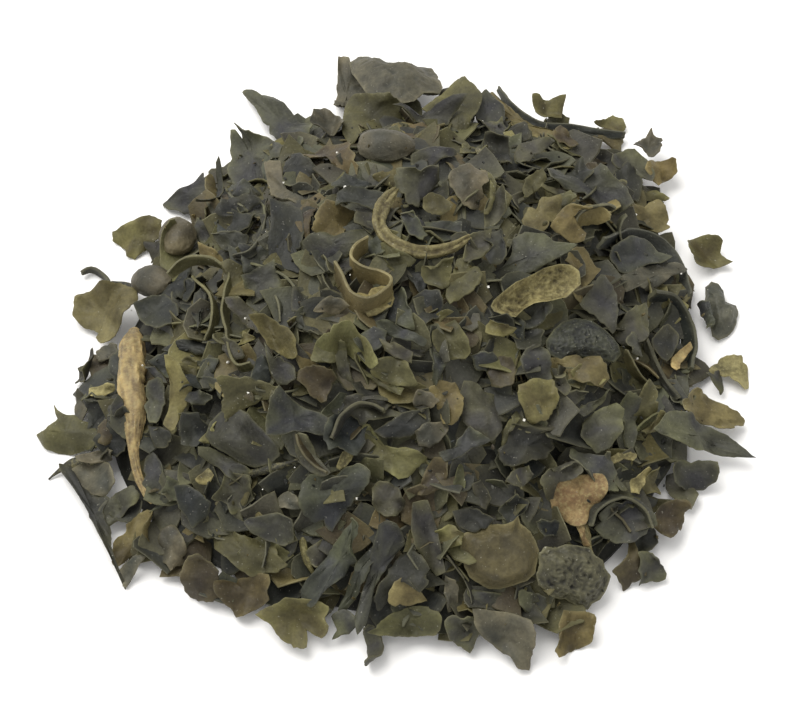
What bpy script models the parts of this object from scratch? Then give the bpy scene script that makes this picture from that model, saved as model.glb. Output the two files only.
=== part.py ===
"""Dried bladderwrack, as sold by weight: one loose heap of cut and broken seaweed fronds.

The heap is a low mound with torn flakes of frond lying on it like shingle, and between them curled
ribbons, midribs, round air bladders and warty receptacles. Metres, +Z up, +Y towards the back.
The origin is the middle of the flat underside. All sizes below are in millimetres.
"""

import math
import random
from collections import namedtuple

import bmesh
import bpy
import numpy as np

MM = 0.001

# The mound under the flakes.
FOOT_RADIUS = 65.3
FOOT_LOBES = ((1, 0.07, -0.55), (2, 0.044, 2.0), (3, 0.034, -2.3), (4, 0.025, 2.05))  # order, share, phase
HEAP_RISE = 29.0
BANK_POWER = 1.75  # how fast the bank steepens towards the rim
LUMP_RISE = 1.6
LUMP_PITCH = 27.0
CORE_RINGS = (0.16, 0.34, 0.52, 0.68, 0.82, 0.92, 0.985)  # shares of the foot's radius
CORE_SECTORS = 34
BASE_EDGE = 1.2  # height of the mound's steep edge above the surface it stands on

# The frond itself.
SHEET_THICKNESS = 0.8
SINK_SHARE = 0.22  # share of a piece that may lie inside what is under it
SINK_DEPTH = 0.6
TOUCH_SHARE = 0.3  # share of a piece that has the heap under it
TOUCH_HEIGHT = 0.3
SLIDE_STEP = 1.0
TABLE_GAP = 0.08  # left under a flake that reaches the table, so that it never just grazes it
FACING = 0.25  # how far pieces turn from the heap's slope to the front view
CORNER_WANDER = 0.24

# Places of the larger pieces are given as they look from the front, this far down from level,
# in millimetres across and up from the point looked at.
VIEW_TILT = math.radians(58.0)
VIEW_DISTANCE = 400.0
VIEW_POINT = np.array((1.5, -7.3, 10.0))

# The loose flakes between the larger pieces.
LOOSE_FLAKES = 128
LOOSE_SEED = 47
LOOSE_LENGTH = (7.0, 12.5)
LOOSE_REACH = 1.02  # of the foot's radius
CLEAR_OF_LARGER = 0.42  # of a larger piece's length

# The height map of the pile, and the angle below which joined faces are merged.
MAP_STEP = 1.0
MAP_HALF = 90.0
FLAT_ENOUGH = math.radians(7.0)

Piece = namedtuple("Piece", "kind across up long wide aim corners bite curl roll lift lean")

# kind, across, up, long, wide, aim, corners, bite, curl, roll, lift, lean. aim is the way the long axis
# points as it is seen, anticlockwise from the right. curl is how far the piece bends over its length,
# roll turns the direction it bends in, lift raises the end it points to and lean tips it on its side.
PIECES = [Piece(*row) for row in (
    # The left rim, from the back to the front.
    ("sheet", -42.4, 31.0, 10.0, 9.0, 70, 5, 0.18, 30, 0, 8, 0),
    ("strip", -37.8, 33.0, 9.0, 3.0, 100, 0, 0.0, 20, 0, 0, 70),
    ("sheet", -48.6, 20.6, 8.0, 6.0, 140, 4, 0.05, 20, 0, 0, 0),
    ("sheet", -53.4, 23.8, 9.0, 7.5, 150, 4, 0.10, 30, 0, 10, 0),
    ("pod", -44.4, 23.8, 9.8, 7.6, 100, 0, 0.8, 0, 0, 0, 0),
    ("rib", -60.6, 15.2, 8.5, 1.4, 155, 0, 0.6, 60, 0, 0, 0),
    ("pod", -49.8, 14.8, 10.8, 6.8, -10, 0, 0.8, 0, 0, 0, 0),
    ("sheet", -60.0, 9.0, 10.5, 8.5, 160, 5, 0.08, 25, 20, 4, 0),
    ("sheet", -46.8, 7.2, 11.0, 7.0, 20, 4, 0.10, 20, 0, 0, 10),
    ("sheet", -59.4, -6.4, 6.0, 3.6, 20, 4, 0.05, 20, 0, 0, 0),
    ("sheet", -63.6, -11.2, 8.4, 3.0, 100, 2, 0.0, 20, 0, 10, 20),
    ("sheet", -68.0, -16.6, 11.5, 7.0, 175, 3, 0.10, 30, 0, 5, 0),
    ("rib", -69.4, -23.6, 11.0, 2.2, 200, 0, 0.5, 85, 0, 0, 0),
    ("sheet", -60.0, -25.4, 10.5, 7.5, 10, 5, 0.10, 25, 90, 0, 0),
    ("sheet", -59.0, -36.5, 25.0, 7.0, -62, 2, 0.0, 20, 0, 0, 25),
    ("sheet", -56.0, -30.4, 9.0, 6.5, 60, 3, 0.08, 20, 0, 0, 0),
    ("sheet", -51.4, -36.6, 15.0, 8.0, 225, 2, 0.0, 25, 90, 0, 0),
    ("sheet", -45.6, -38.6, 9.0, 6.0, 80, 4, 0.05, 10, 0, 0, 0),
    ("sheet", -39.8, -45.2, 10.5, 6.6, 90, 4, 0.04, 20, 0, -5, 0),
    ("sheet", -30.6, -46.6, 12.5, 9.0, 0, 5, 0.10, 20, 0, 0, 0),
    ("sheet", -21.4, -52.6, 16.0, 9.5, -20, 3, -0.10, 25, 90, 0, 0),
    ("sheet", -12.0, -53.0, 8.5, 5.0, 70, 4, 0.10, 15, 0, 0, 0),
    # The left bank.
    ("sheet", -31.6, 26.0, 9.0, 7.0, 30, 4, 0.08, 40, 0, 0, 0),
    ("sheet", -27.4, 13.8, 11.0, 9.0, 60, 4, 0.05, 15, 0, 0, 0),
    ("sheet", -29.0, 7.2, 15.5, 7.0, -35, 3, 0.05, 30, 90, 0, 0),
    ("strip", -37.0, 16.0, 24.0, 7.0, -30, 0, 0.0, -190, 0, 0, 78),
    ("strip", -38.4, 8.0, 14.0, 5.0, -78, 0, 0.0, -70, 0, 0, 75),
    ("sheet", -30.0, 3.2, 5.5, 3.5, 10, 3, 0.08, 50, 0, 0, 0),
    ("sheet", -44.2, -8.0, 15.5, 6.0, -82, 4, 0.12, 40, 90, 0, 0),
    ("rib", -52.0, -12.0, 36.0, 5.0, -86, 0, 0.7, 12, 0, 0, 0),
    ("sheet", -17.2, -4.0, 12.0, 9.0, -70, 4, 0.08, 30, 0, 0, 0),
    ("sheet", -19.0, -12.0, 17.0, 8.5, -8, 4, 0.12, -20, 0, 0, 0),
    ("sheet", -31.6, -16.2, 16.5, 11.5, -10, 4, -0.14, -55, 0, 0, 0),
    ("sheet", -38.4, -15.6, 6.0, 4.0, 60, 3, 0.0, 40, 0, 20, 0),
    ("rib", -25.4, -22.6, 13.0, 1.7, 16, 0, 0.8, 10, 0, 0, 0),
    ("sheet", -38.8, -24.2, 3.8, 3.2, 30, 4, 0.0, 0, 0, 20, 0),
    ("sheet", -33.0, -27.0, 10.0, 8.0, 40, 5, 0.08, 30, 0, 0, 0),
    ("sheet", -25.0, -34.4, 11.0, 7.0, 0, 5, 0.05, 15, 0, 0, 0),
    ("sheet", -13.0, -30.0, 14.0, 12.0, 80, 4, 0.10, 25, 0, 0, 0),
    ("rib", -18.4, -41.0, 9.0, 1.6, -70, 0, 0.7, 30, 0, 0, 0),
    ("sheet", -8.6, -37.8, 15.0, 7.0, 60, 3, 0.05, 30, 90, 0, 0),
    # The back.
    ("sheet", -29.0, 40.0, 12.5, 10.0, 90, 6, 0.22, 20, 0, 10, 0),
    ("sheet", -24.0, 46.0, 14.5, 8.5, 145, 3, -0.08, 40, 90, 8, 0),
    ("sheet", -9.6, 52.4, 9.0, 5.8, 92, 4, 0.0, 20, 0, 20, 0),
    ("sheet", -8.6, 48.0, 8.5, 6.5, 20, 5, 0.08, 40, 0, 0, 0),
    ("sheet", -1.0, 55.0, 19.0, 11.0, -3, 5, 0.05, -80, 90, 4, 32),
    ("sheet", 11.0, 49.0, 13.5, 11.0, 80, 3, -0.05, 50, 90, 14, 0),
    ("sheet", 19.0, 45.6, 9.5, 6.0, -20, 4, 0.08, 20, 0, 0, 0),
    ("sheet", 29.2, 48.8, 6.8, 4.8, -10, 4, 0.08, 20, 0, 10, 0),
    ("sheet", 42.0, 46.4, 6.5, 4.0, 10, 3, 0.05, 20, 0, 0, 0),
    ("strip", 30.0, 46.0, 27.0, 3.6, -20, 0, 0.0, 45, 0, 0, 25),
    ("strip", 30.6, 47.8, 29.0, 3.6, -18, 0, 0.0, 40, 0, 0, 60),
    ("sheet", 45.6, 38.4, 9.0, 7.0, 40, 4, 0.05, 20, 0, 0, 0),
    ("sheet", 49.6, 41.8, 8.0, 6.4, 80, 4, 0.10, 20, 0, 10, 0),
    ("sheet", 53.0, 36.6, 6.0, 5.4, 50, 4, 0.0, 20, 0, 6, 0),
    ("rib", 48.0, 33.0, 12.0, 3.0, -20, 0, 0.6, -25, 0, 0, 0),
    # The back half of the top.
    ("sheet", -23.4, 25.0, 14.5, 6.8, 95, 4, 0.06, 30, 90, 0, 0),
    ("sheet", -13.8, 22.0, 13.5, 9.0, 20, 4, 0.08, 20, 0, 0, 0),
    ("sheet", -20.4, 31.2, 6.5, 5.0, -30, 4, 0.10, 40, 0, 0, 0),
    ("sheet", -14.4, 39.0, 12.5, 8.0, -20, 4, 0.18, 80, 0, 0, 0),
    ("strip", -20.6, 38.0, 15.0, 5.5, 10, 0, 0.0, 150, 0, 0, 65),
    ("pod", -2.8, 41.8, 12.0, 8.0, 0, 0, 0.85, 0, 0, 0, 0),
    ("sheet", 3.0, 33.8, 9.5, 8.0, 60, 3, 0.05, 20, 0, 0, 0),
    ("sheet", 6.6, 39.4, 10.5, 5.0, 5, 2, 0.0, -60, 90, 0, 0),
    ("sheet", 7.2, 30.2, 7.0, 5.5, 20, 4, 0.08, 40, 0, 0, 0),
    ("sheet", 9.2, 25.2, 11.0, 5.0, -8, 4, 0.10, 60, 90, 0, 0),
    ("sheet", 19.4, 41.0, 8.0, 6.5, 60, 5, -0.04, -40, 0, 0, 0),
    ("rib", 17.6, 38.3, 10.5, 2.0, -55, 0, 0.7, 15, 0, 0, 0),
    ("sheet", 14.0, 33.0, 11.5, 6.4, 85, 5, 0.05, 20, 90, 0, 0),
    ("strip", 17.6, 30.0, 11.0, 3.0, 80, 0, 0.0, 40, 0, 0, 70),
    ("sheet", 26.6, 33.4, 7.5, 5.8, 80, 4, 0.0, 30, 90, 10, 0),
    ("sheet", 32.6, 43.4, 7.5, 5.4, 60, 3, 0.06, 30, 0, 10, 0),
    ("sheet", 38.0, 33.0, 20.0, 5.4, -32, 2, 0.0, -30, 90, 0, 0),
    ("sheet", 28.2, 28.4, 10.0, 7.0, 25, 4, 0.06, 30, 0, 0, 0),
    ("strip", 35.6, 27.6, 14.0, 4.5, 20, 0, 0.0, 120, 0, 0, 60),
    ("sheet", 25.4, 22.6, 16.0, 9.0, 45, 4, 0.16, 25, 0, 0, 0),
    ("rib", 4.0, 23.6, 29.0, 2.8, -45, 0, 0.75, 150, 0, 0, 0),
    # The right side.
    ("sheet", 46.0, 21.0, 10.5, 7.5, 0, 5, -0.04, -40, 0, 0, 0),
    ("sheet", 51.0, 17.0, 12.5, 7.0, 20, 4, 0.14, 30, 0, 0, 0),
    ("strip", 58.0, 13.5, 30.0, 5.0, -68, 0, 0.0, -75, 0, 0, 40),
    ("sheet", 61.0, 20.2, 10.0, 6.8, -15, 4, 0.05, 20, 0, 6, 0),
    ("wart", 64.0, 8.0, 12.5, 5.0, -75, 0, 0.8, 0, 0, 0, 0),
    ("sheet", 66.2, -4.4, 10.0, 7.5, -80, 3, -0.18, 25, 0, 0, 0),
    ("sheet", 36.8, 18.0, 10.5, 7.0, 75, 4, 0.08, 30, 0, 0, 0),
    ("sheet", 40.2, 10.0, 11.0, 7.2, 95, 2, 0.0, -35, 90, 0, 0),
    ("sheet", 48.0, 6.8, 11.5, 9.0, 70, 5, 0.08, 40, 0, 0, 0),
    ("wart", 34.0, 0.6, 19.0, 14.0, 0, 0, 0.5, 0, 0, 0, 0),
    ("sheet", 38.2, -4.2, 8.5, 6.0, 10, 4, 0.06, 50, 0, 0, 0),
    ("sheet", 28.2, -9.0, 10.5, 9.6, 60, 5, -0.04, -20, 0, 0, 0),
    ("sheet", 39.2, -15.4, 11.0, 7.8, 60, 4, -0.04, 20, 90, 0, 0),
    ("sheet", 45.8, -12.8, 12.5, 4.8, 85, 4, 0.05, 30, 90, 0, 0),
    ("strip", 50.2, -13.2, 8.0, 3.0, 20, 0, 0.0, 50, 0, 0, 50),
    ("sheet", 61.8, -11.0, 14.5, 6.2, -35, 4, 0.08, 30, 0, 0, 0),
    ("sheet", 59.0, -23.6, 12.5, 7.0, 5, 5, 0.05, 20, 0, 0, 0),
    ("sheet", 60.0, -16.6, 19.5, 8.0, -22, 3, 0.0, 15, 90, 0, 0),
    ("sheet", 53.0, -30.6, 11.5, 7.0, 70, 4, 0.06, 20, 0, 0, 0),
    # The middle of the top and the front bank.
    ("strip", -12.0, 14.0, 12.0, 5.0, -65, 0, 0.0, 60, 0, 0, 65),
    ("strip", -7.0, 20.0, 15.0, 5.0, 200, 0, 0.0, 170, 0, 0, 70),
    ("sheet", -5.8, 10.2, 8.5, 7.0, -60, 4, 0.0, 50, 90, 0, 0),
    ("sheet", 7.4, 16.0, 8.5, 7.0, 60, 4, 0.08, 50, 0, 0, 0),
    ("sheet", 13.0, 14.4, 9.5, 7.0, 55, 4, 0.0, 25, 90, 0, 0),
    ("sheet", 10.2, 6.2, 9.5, 7.0, 60, 5, 0.06, 30, 0, 0, 0),
    ("strip", 19.4, 5.2, 11.0, 4.0, 10, 0, 0.0, 60, 0, 0, 50),
    ("sheet", 26.2, 12.8, 20.5, 7.0, 27, 2, 0.0, 50, 90, 0, 0),
    ("sheet", -3.4, -4.0, 10.5, 8.5, 50, 5, -0.02, 30, 0, 0, 0),
    ("sheet", -7.0, -10.6, 12.5, 6.5, -10, 4, 0.05, -120, 0, 0, 0),
    ("sheet", 9.2, -9.8, 9.5, 6.0, -70, 4, 0.05, 30, 90, 0, 0),
    ("wart", 20.8, -4.2, 5.8, 5.0, 30, 0, 0.7, 0, 0, 0, 0),
    ("sheet", 17.4, -11.6, 12.5, 9.8, 70, 5, 0.06, 15, 0, 0, 0),
    ("sheet", 24.0, -19.0, 11.5, 7.5, -5, 5, 0.06, 30, 0, 0, 0),
    ("strip", 21.2, -15.6, 8.0, 3.4, 75, 0, 0.0, 60, 0, 0, 65),
    ("sheet", 12.4, -17.0, 11.5, 6.0, 15, 4, 0.05, 70, 90, 0, 0),
    ("sheet", 2.6, -21.4, 7.5, 6.0, -40, 5, 0.08, 60, 0, 0, 0),
    ("sheet", 9.2, -24.0, 11.0, 8.0, -10, 4, -0.06, 40, 0, 0, 0),
    ("strip", 44.8, -20.4, 8.0, 3.0, 5, 0, 0.0, -60, 0, 0, 40),
    ("sheet", 47.4, -24.4, 7.0, 3.0, 70, 2, 0.0, 40, 90, 0, 0),
    ("sheet", 44.0, -31.0, 16.0, 11.0, 20, 4, 0.0, -150, 90, 0, 0),
    ("rib", 37.2, -36.4, 7.0, 2.2, -75, 0, 0.6, 20, 0, 0, 0),
    ("sheet", 35.4, -28.8, 13.0, 10.0, 45, 4, -0.06, 30, 0, 0, 0),
    # The front rim.
    ("sheet", 51.8, -44.4, 9.0, 8.0, 45, 4, 0.0, 10, 0, 0, 0),
    ("sheet", 46.4, -42.4, 11.0, 7.2, 85, 4, 0.05, 20, 90, 0, 0),
    ("sheet", 35.6, -55.0, 14.0, 7.5, 222, 4, -0.06, 90, 90, 0, 0),
    ("sheet", 21.0, -53.6, 18.0, 10.0, -62, 4, -0.04, 60, 90, 0, 0),
    ("sheet", 26.5, -50.3, 8.0, 6.0, -60, 3, 0.0, 10, 0, 0, 0),
    ("sheet", 12.3, -55.0, 9.0, 7.2, -50, 4, 0.06, 15, 0, 0, 0),
    ("sheet", 0.4, -53.0, 17.0, 6.4, 180, 3, 0.02, 30, 90, 0, 0),
    ("sheet", 1.4, -47.4, 8.5, 7.4, 60, 5, 0.04, 30, 0, 0, 0),
    ("sheet", -2.4, -46.0, 17.0, 5.0, 65, 4, 0.04, 20, 90, 0, 20),
    ("sheet", -7.0, -43.0, 24.0, 4.6, 58, 4, 0.04, 20, 90, 0, -15),
    ("sheet", 5.2, -36.0, 17.0, 5.2, -75, 3, 0.02, 20, 90, 0, 0),
    ("wart", 34.4, -44.4, 15.5, 13.5, 10, 0, 0.5, 0, 0, 0, 0),
    ("sheet", 19.8, -39.8, 19.0, 17.5, 52, 4, -0.10, -45, 0, 0, 0),
)]


def foot_radius(angle):
    """Distance from the heap's middle to the foot of its bank."""
    lobes = sum(share * np.cos(order * angle - phase) for order, share, phase in FOOT_LOBES)
    return FOOT_RADIUS * (1.0 + lobes)


def bed(x, y):
    """Height of the mound that the flakes lie on."""
    share = np.hypot(x, y) / foot_radius(np.arctan2(y, x))
    rise = HEAP_RISE * (1.0 - np.minimum(share, 1.0) ** BANK_POWER)
    lumps = np.sin(x / LUMP_PITCH * 6.1 + 1.0) * np.sin(y / LUMP_PITCH * 5.3 - 0.6)
    inside = np.clip((1.0 - share) * 6.0, 0.0, 1.0)
    return np.where(share < 1.0, rise + BASE_EDGE + LUMP_RISE * lumps * inside, 0.0)


def unit(vector):
    return vector / np.linalg.norm(vector)


TO_EYE = np.array((0.0, -math.cos(VIEW_TILT), math.sin(VIEW_TILT)))
SEEN_RIGHT = np.array((1.0, 0.0, 0.0))
SEEN_UP = np.cross(TO_EYE, SEEN_RIGHT)
EYE = VIEW_POINT + TO_EYE * VIEW_DISTANCE


def on_sight_line(across, up, height):
    """The point at this height that is seen at this place."""
    aim = VIEW_POINT + SEEN_RIGHT * across + SEEN_UP * up - EYE
    return EYE + aim * (height - EYE[2]) / aim[2]


class Pile:
    """The height of the heap so far, on a square grid, so that each piece comes to rest on the last."""

    def __init__(self):
        ticks = np.arange(-MAP_HALF, MAP_HALF + MAP_STEP, MAP_STEP)
        self.x, self.y = np.meshgrid(ticks, ticks, indexing="ij")
        self.top = bed(self.x, self.y)

    def cells(self, x, y):
        last = len(self.top) - 1
        i = np.clip(np.rint((x + MAP_HALF) / MAP_STEP).astype(int), 0, last)
        j = np.clip(np.rint((y + MAP_HALF) / MAP_STEP).astype(int), 0, last)
        return i, j

    def height(self, x, y):
        return self.top[self.cells(x, y)]

    def normal(self, x, y, radius):
        """Upward normal of the plane that fits the heap best within this radius."""
        near = np.hypot(self.x - x, self.y - y) < radius
        flat = np.c_[self.x[near], self.y[near], np.ones(near.sum())]
        slope = np.linalg.lstsq(flat, self.top[near], rcond=None)[0]
        return unit(np.array((-slope[0], -slope[1], 1.0)))

    def rest_height(self, points):
        """How high the piece's own origin lies once the piece rests on the heap and clear of the table."""
        gaps = self.height(points[:, 0], points[:, 1]) - points[:, 2]
        resting = np.quantile(gaps, 1.0 - SINK_SHARE) - SINK_DEPTH
        return max(resting, TABLE_GAP - points[:, 2].min())

    def add(self, points):
        i, j = self.cells(points[:, 0], points[:, 1])
        np.maximum.at(self.top, (i, j), points[:, 2])

    def seen_at(self, across, up):
        """Where the heap is met by the line of sight at this place."""
        for height in np.arange(HEAP_RISE * 1.6, 0.0, -0.5):
            point = on_sight_line(across, up, height)
            if self.height(point[0], point[1]) >= height:
                return point
        return on_sight_line(across, up, 0.0)


def bend(along, across, curl, roll):
    """Points and normals of a flat sheet bent by curl radians over each millimetre in the roll direction."""
    c, s = math.cos(roll), math.sin(roll)
    p = along * c + across * s
    q = across * c - along * s
    angle = curl * p
    safe = curl if abs(curl) > 1e-6 else 1e-6
    x = np.sin(safe * p) / safe
    z = (1.0 - np.cos(safe * p)) / safe
    points = np.stack((x * c - q * s, x * s + q * c, z), axis=-1)
    normals = np.stack((-np.sin(angle) * c, -np.sin(angle) * s, np.cos(angle)), axis=-1)
    return points, normals


def outline(piece, draw):
    """Corners of a torn flake, joined by arcs that bite inwards, or bulge where bite is negative."""
    count = piece.corners
    turn = 2.0 * math.pi / count
    tips = []
    for i in range(count):
        angle = (i + (draw.uniform(-CORNER_WANDER, CORNER_WANDER) if i else 0.0)) * turn
        reach = draw.uniform(0.85, 1.0)
        tips.append(np.array((math.cos(angle), math.sin(angle))) * reach)
    points = []
    for i, tip in enumerate(tips):
        step = tips[(i + 1) % count] - tip
        inward = np.array((-step[1], step[0]))
        arc = -0.34 if count == 2 else piece.bite + draw.uniform(-0.05, 0.07)
        stops = 3 if count == 2 else 2 if abs(arc) > 0.08 else 1
        for stop in range(stops):
            t = stop / stops
            points.append(tip + step * t + inward * arc * 4.0 * t * (1.0 - t))
    points = np.array(points)
    low, high = points.min(axis=0), points.max(axis=0)
    return (points - (low + high) / 2.0) / (high - low) * (piece.long, piece.wide)


def sheet_shape(piece, draw):
    """A thin curled flake: both faces are the same fan of triangles, with a rim between them."""
    rim = outline(piece, draw)
    flat = np.vstack((rim, rim.mean(axis=0)))
    span = piece.long if abs(math.cos(math.radians(piece.roll))) > 0.7 else piece.wide
    middle, normals = bend(flat[:, 0], flat[:, 1], math.radians(piece.curl) / span, math.radians(piece.roll))
    half = normals * SHEET_THICKNESS / 2.0
    count = len(rim)
    points = np.vstack((middle + half, middle - half))
    hub, under = count, count + 1
    faces = []
    for i in range(count):
        j = (i + 1) % count
        faces.append((i, j, hub))
        faces.append((under + j, under + i, under + hub))
        faces.append((under + i, under + j, j))
        faces.append((under + i, j, i))
    return points, faces


def strip_shape(piece, draw):
    """A ribbon of frond with torn, narrower ends, curled along its length."""
    count = 6 if piece.long > 12.0 else 4
    along = np.linspace(-0.5, 0.5, count + 1) * piece.long
    share = np.abs(np.linspace(-1.0, 1.0, count + 1))
    half_width = piece.wide / 2.0 * (1.0 - 0.55 * share ** 3)
    half_width = half_width * np.array([draw.uniform(0.85, 1.1) for _ in along])
    curl = math.radians(piece.curl) / piece.long
    rails = []
    for side in (1.0, -1.0):
        middle, normals = bend(along, side * half_width, curl, 0.0)
        for face in (1.0, -1.0):
            rails.append(middle + normals * face * SHEET_THICKNESS / 2.0)
    # Rails run left top, left bottom, right bottom, right top, so that rings go round the section.
    ring = np.stack((rails[0], rails[1], rails[3], rails[2]), axis=1)
    return ring.reshape(-1, 3), tube_faces(count + 1, 4)


def tube_faces(rings, sides):
    """Triangles of a closed tube whose rings of points follow each other."""
    faces = []
    for ring in range(rings - 1):
        for side in range(sides):
            a, b = ring * sides + side, ring * sides + (side + 1) % sides
            faces.append((a, a + sides, b + sides))
            faces.append((a, b + sides, b))
    last = (rings - 1) * sides
    for side in range(1, sides - 1):
        faces.append((0, side, side + 1))
        faces.append((last, last + side + 1, last + side))
    return faces


def rib_shape(piece, draw):
    """A midrib or stalk: broad for its first half, tapering to a point, and bent in its own plane."""
    sides, rings = 5, 8
    along = np.linspace(-0.5, 0.5, rings) * piece.long
    curl = math.radians(piece.curl) / piece.long
    centre, normals = bend(along, np.zeros(rings), curl, 0.0)
    share = np.linspace(0.0, 1.0, rings)
    radius = piece.wide / 2.0 * np.where(share < 0.5, 0.72 + 0.56 * share, 1.0 - 1.3 * (share - 0.5))
    points = []
    for ring in range(rings):
        for side in range(sides):
            angle = 2.0 * math.pi * side / sides + draw.uniform(-0.1, 0.1)
            out = normals[ring] * math.cos(angle) * radius[ring]
            points.append(centre[ring] + out + (0.0, math.sin(angle) * radius[ring] * piece.bite, 0.0))
    # The curve is made standing and laid down, so that it bends across the heap and not out of it.
    points = np.array(points)
    points = np.stack((points[:, 0], points[:, 2], -points[:, 1]), axis=-1)
    return points - (points.max(axis=0) + points.min(axis=0)) / 2.0, tube_faces(rings, sides)


def pod_shape(piece, draw, sides=8, rings=5, bumps=0.03):
    """An air bladder: a swollen egg of frond, blunt at both ends."""
    points = []
    for ring in range(rings):
        angle = math.pi * (ring + 0.55) / (rings + 0.1)
        for side in range(sides):
            around = 2.0 * math.pi * side / sides
            swell = 0.5 * (1.0 + draw.uniform(-bumps, bumps))
            points.append((
                -math.cos(angle) * piece.long * swell,
                math.sin(angle) * math.cos(around) * piece.wide * swell,
                math.sin(angle) * math.sin(around) * piece.wide * piece.bite * swell,
            ))
    return np.array(points), tube_faces(rings, sides)


def wart_shape(piece, draw):
    """A receptacle, the swollen tip of a frond, rough with warts."""
    return pod_shape(piece, draw, sides=9, rings=7, bumps=0.08)


SHAPES = {
    "sheet": sheet_shape,
    "strip": strip_shape,
    "rib": rib_shape,
    "pod": pod_shape,
    "wart": wart_shape,
}


def turn_about(vector, axis, angle):
    """The vector turned about a unit axis."""
    c, s = math.cos(angle), math.sin(angle)
    return vector * c + np.cross(axis, vector) * s + axis * np.dot(axis, vector) * (1.0 - c)


def axes_of(piece, normal):
    """The piece's long, cross and upward axes on a surface with this normal."""
    aim = math.radians(piece.aim)
    seen = SEEN_RIGHT * math.cos(aim) + SEEN_UP * math.sin(aim)
    long = unit(seen - TO_EYE * np.dot(seen, normal) / np.dot(TO_EYE, normal))
    cross = np.cross(normal, long)
    lift, lean = math.radians(piece.lift), math.radians(piece.lean)
    long = turn_about(long, cross, -lift)
    up = np.cross(long, cross)
    return np.array((long, turn_about(cross, long, lean), turn_about(up, long, lean)))


def rest_at(piece, pile, points, across, up):
    """The piece's points where it comes to rest, seen at this place."""
    place = pile.seen_at(across, up)
    for _ in range(3):
        slope = pile.normal(place[0], place[1], max(4.0, piece.long * 0.5))
        axes = axes_of(piece, unit(slope * (1.0 - FACING) + TO_EYE * FACING))
        turned = points @ axes
        height = pile.rest_height(turned + (place[0], place[1], 0.0))
        place = on_sight_line(across, up, height)
    return turned + place


def settle(piece, pile, points):
    """The piece's points at rest, slid in towards the heap's middle until enough of it lies on the heap."""
    seen = np.array((piece.across, piece.up))
    middle = np.array(seen_from_front(np.zeros(3)))
    while True:
        placed = rest_at(piece, pile, points, *seen)
        if np.mean(pile.height(placed[:, 0], placed[:, 1]) > TOUCH_HEIGHT) >= TOUCH_SHARE:
            return placed
        seen = seen + unit(middle - seen) * SLIDE_STEP


def seen_from_front(point):
    """Across and up of a point, as it is seen."""
    away = point - EYE
    away = away * VIEW_DISTANCE / -np.dot(away, TO_EYE) - (VIEW_POINT - EYE)
    return np.dot(away, SEEN_RIGHT), np.dot(away, SEEN_UP)


def loose_pieces():
    """Loose flakes spread evenly over the heap, less those that a larger piece would hide."""
    draw = random.Random(LOOSE_SEED)
    pieces = []
    for i in range(LOOSE_FLAKES):
        angle = i * math.pi * (3.0 - math.sqrt(5.0))
        radius = LOOSE_REACH * foot_radius(angle) * math.sqrt((i + 0.5) / LOOSE_FLAKES)
        x = radius * math.cos(angle) + draw.uniform(-2.0, 2.0)
        y = radius * math.sin(angle) + draw.uniform(-2.0, 2.0)
        long = draw.uniform(*LOOSE_LENGTH)
        across, up = seen_from_front(np.array((x, y, bed(x, y))))
        kind = "strip" if draw.random() < 0.16 else "sheet"
        piece = Piece(
            kind, across, up, long * (1.3 if kind == "strip" else 1.0),
            long * (0.45 if kind == "strip" else draw.uniform(0.55, 0.85)), draw.uniform(0, 360),
            draw.choice((3, 4, 4, 5)), draw.uniform(-0.10, 0.10), draw.uniform(-60, 110),
            draw.choice((0, 90)), draw.uniform(-10, 35), draw.uniform(-28, 28),
        )
        if kind == "strip":
            piece = piece._replace(lean=draw.uniform(30, 80), curl=draw.uniform(40, 190))
        hidden = any(
            math.hypot(across - big.across, up - big.up) < CLEAR_OF_LARGER * math.sqrt(big.long * big.wide)
            for big in PIECES
        )
        if not hidden:
            pieces.append(piece)
    return pieces


def mesh_object(name, points, faces, collection):
    mesh = bpy.data.meshes.new(name)
    mesh.from_pydata([tuple(p) for p in points * MM], [], faces)
    body = bmesh.new()
    body.from_mesh(mesh)
    bmesh.ops.recalc_face_normals(body, faces=body.faces)
    body.to_mesh(mesh)
    body.free()
    made = bpy.data.objects.new(name, mesh)
    collection.objects.link(made)
    return made


def mound():
    """The solid middle of the heap, flat underneath."""
    sectors = np.arange(CORE_SECTORS) * 2.0 * math.pi / CORE_SECTORS
    rings = [np.stack((
        np.cos(sectors) * foot_radius(sectors) * share,
        np.sin(sectors) * foot_radius(sectors) * share,
    ), axis=-1) for share in CORE_RINGS]
    top = [np.array([[0.0, 0.0, bed(0.0, 0.0)]])]
    top += [np.column_stack((ring, bed(ring[:, 0], ring[:, 1]))) for ring in rings]
    foot = np.column_stack((rings[-1], np.zeros(CORE_SECTORS)))
    points = np.vstack(top + [foot, [[0.0, 0.0, 0.0]]])
    n = CORE_SECTORS
    faces = [(0, 1 + i, 1 + (i + 1) % n) for i in range(n)]
    for ring in range(len(CORE_RINGS)):
        for i in range(n):
            a, b = 1 + ring * n + i, 1 + ring * n + (i + 1) % n
            faces.append((a, a + n, b + n))
            faces.append((a, b + n, b))
    last = len(points) - 1
    start = 1 + len(CORE_RINGS) * n
    faces += [(last, start + (i + 1) % n, start + i) for i in range(n)]
    return points, faces


def filled_points(points, faces):
    """The corners and the points spread between them, close enough for the height map."""
    corners = points[np.array(faces)]
    spread = [points]
    for a, b, c in ((0.34, 0.33, 0.33), (0.5, 0.5, 0.0), (0.0, 0.5, 0.5), (0.5, 0.0, 0.5),
                    (0.7, 0.15, 0.15), (0.15, 0.7, 0.15), (0.15, 0.15, 0.7)):
        spread.append(corners[:, 0] * a + corners[:, 1] * b + corners[:, 2] * c)
    return np.vstack(spread)


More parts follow.
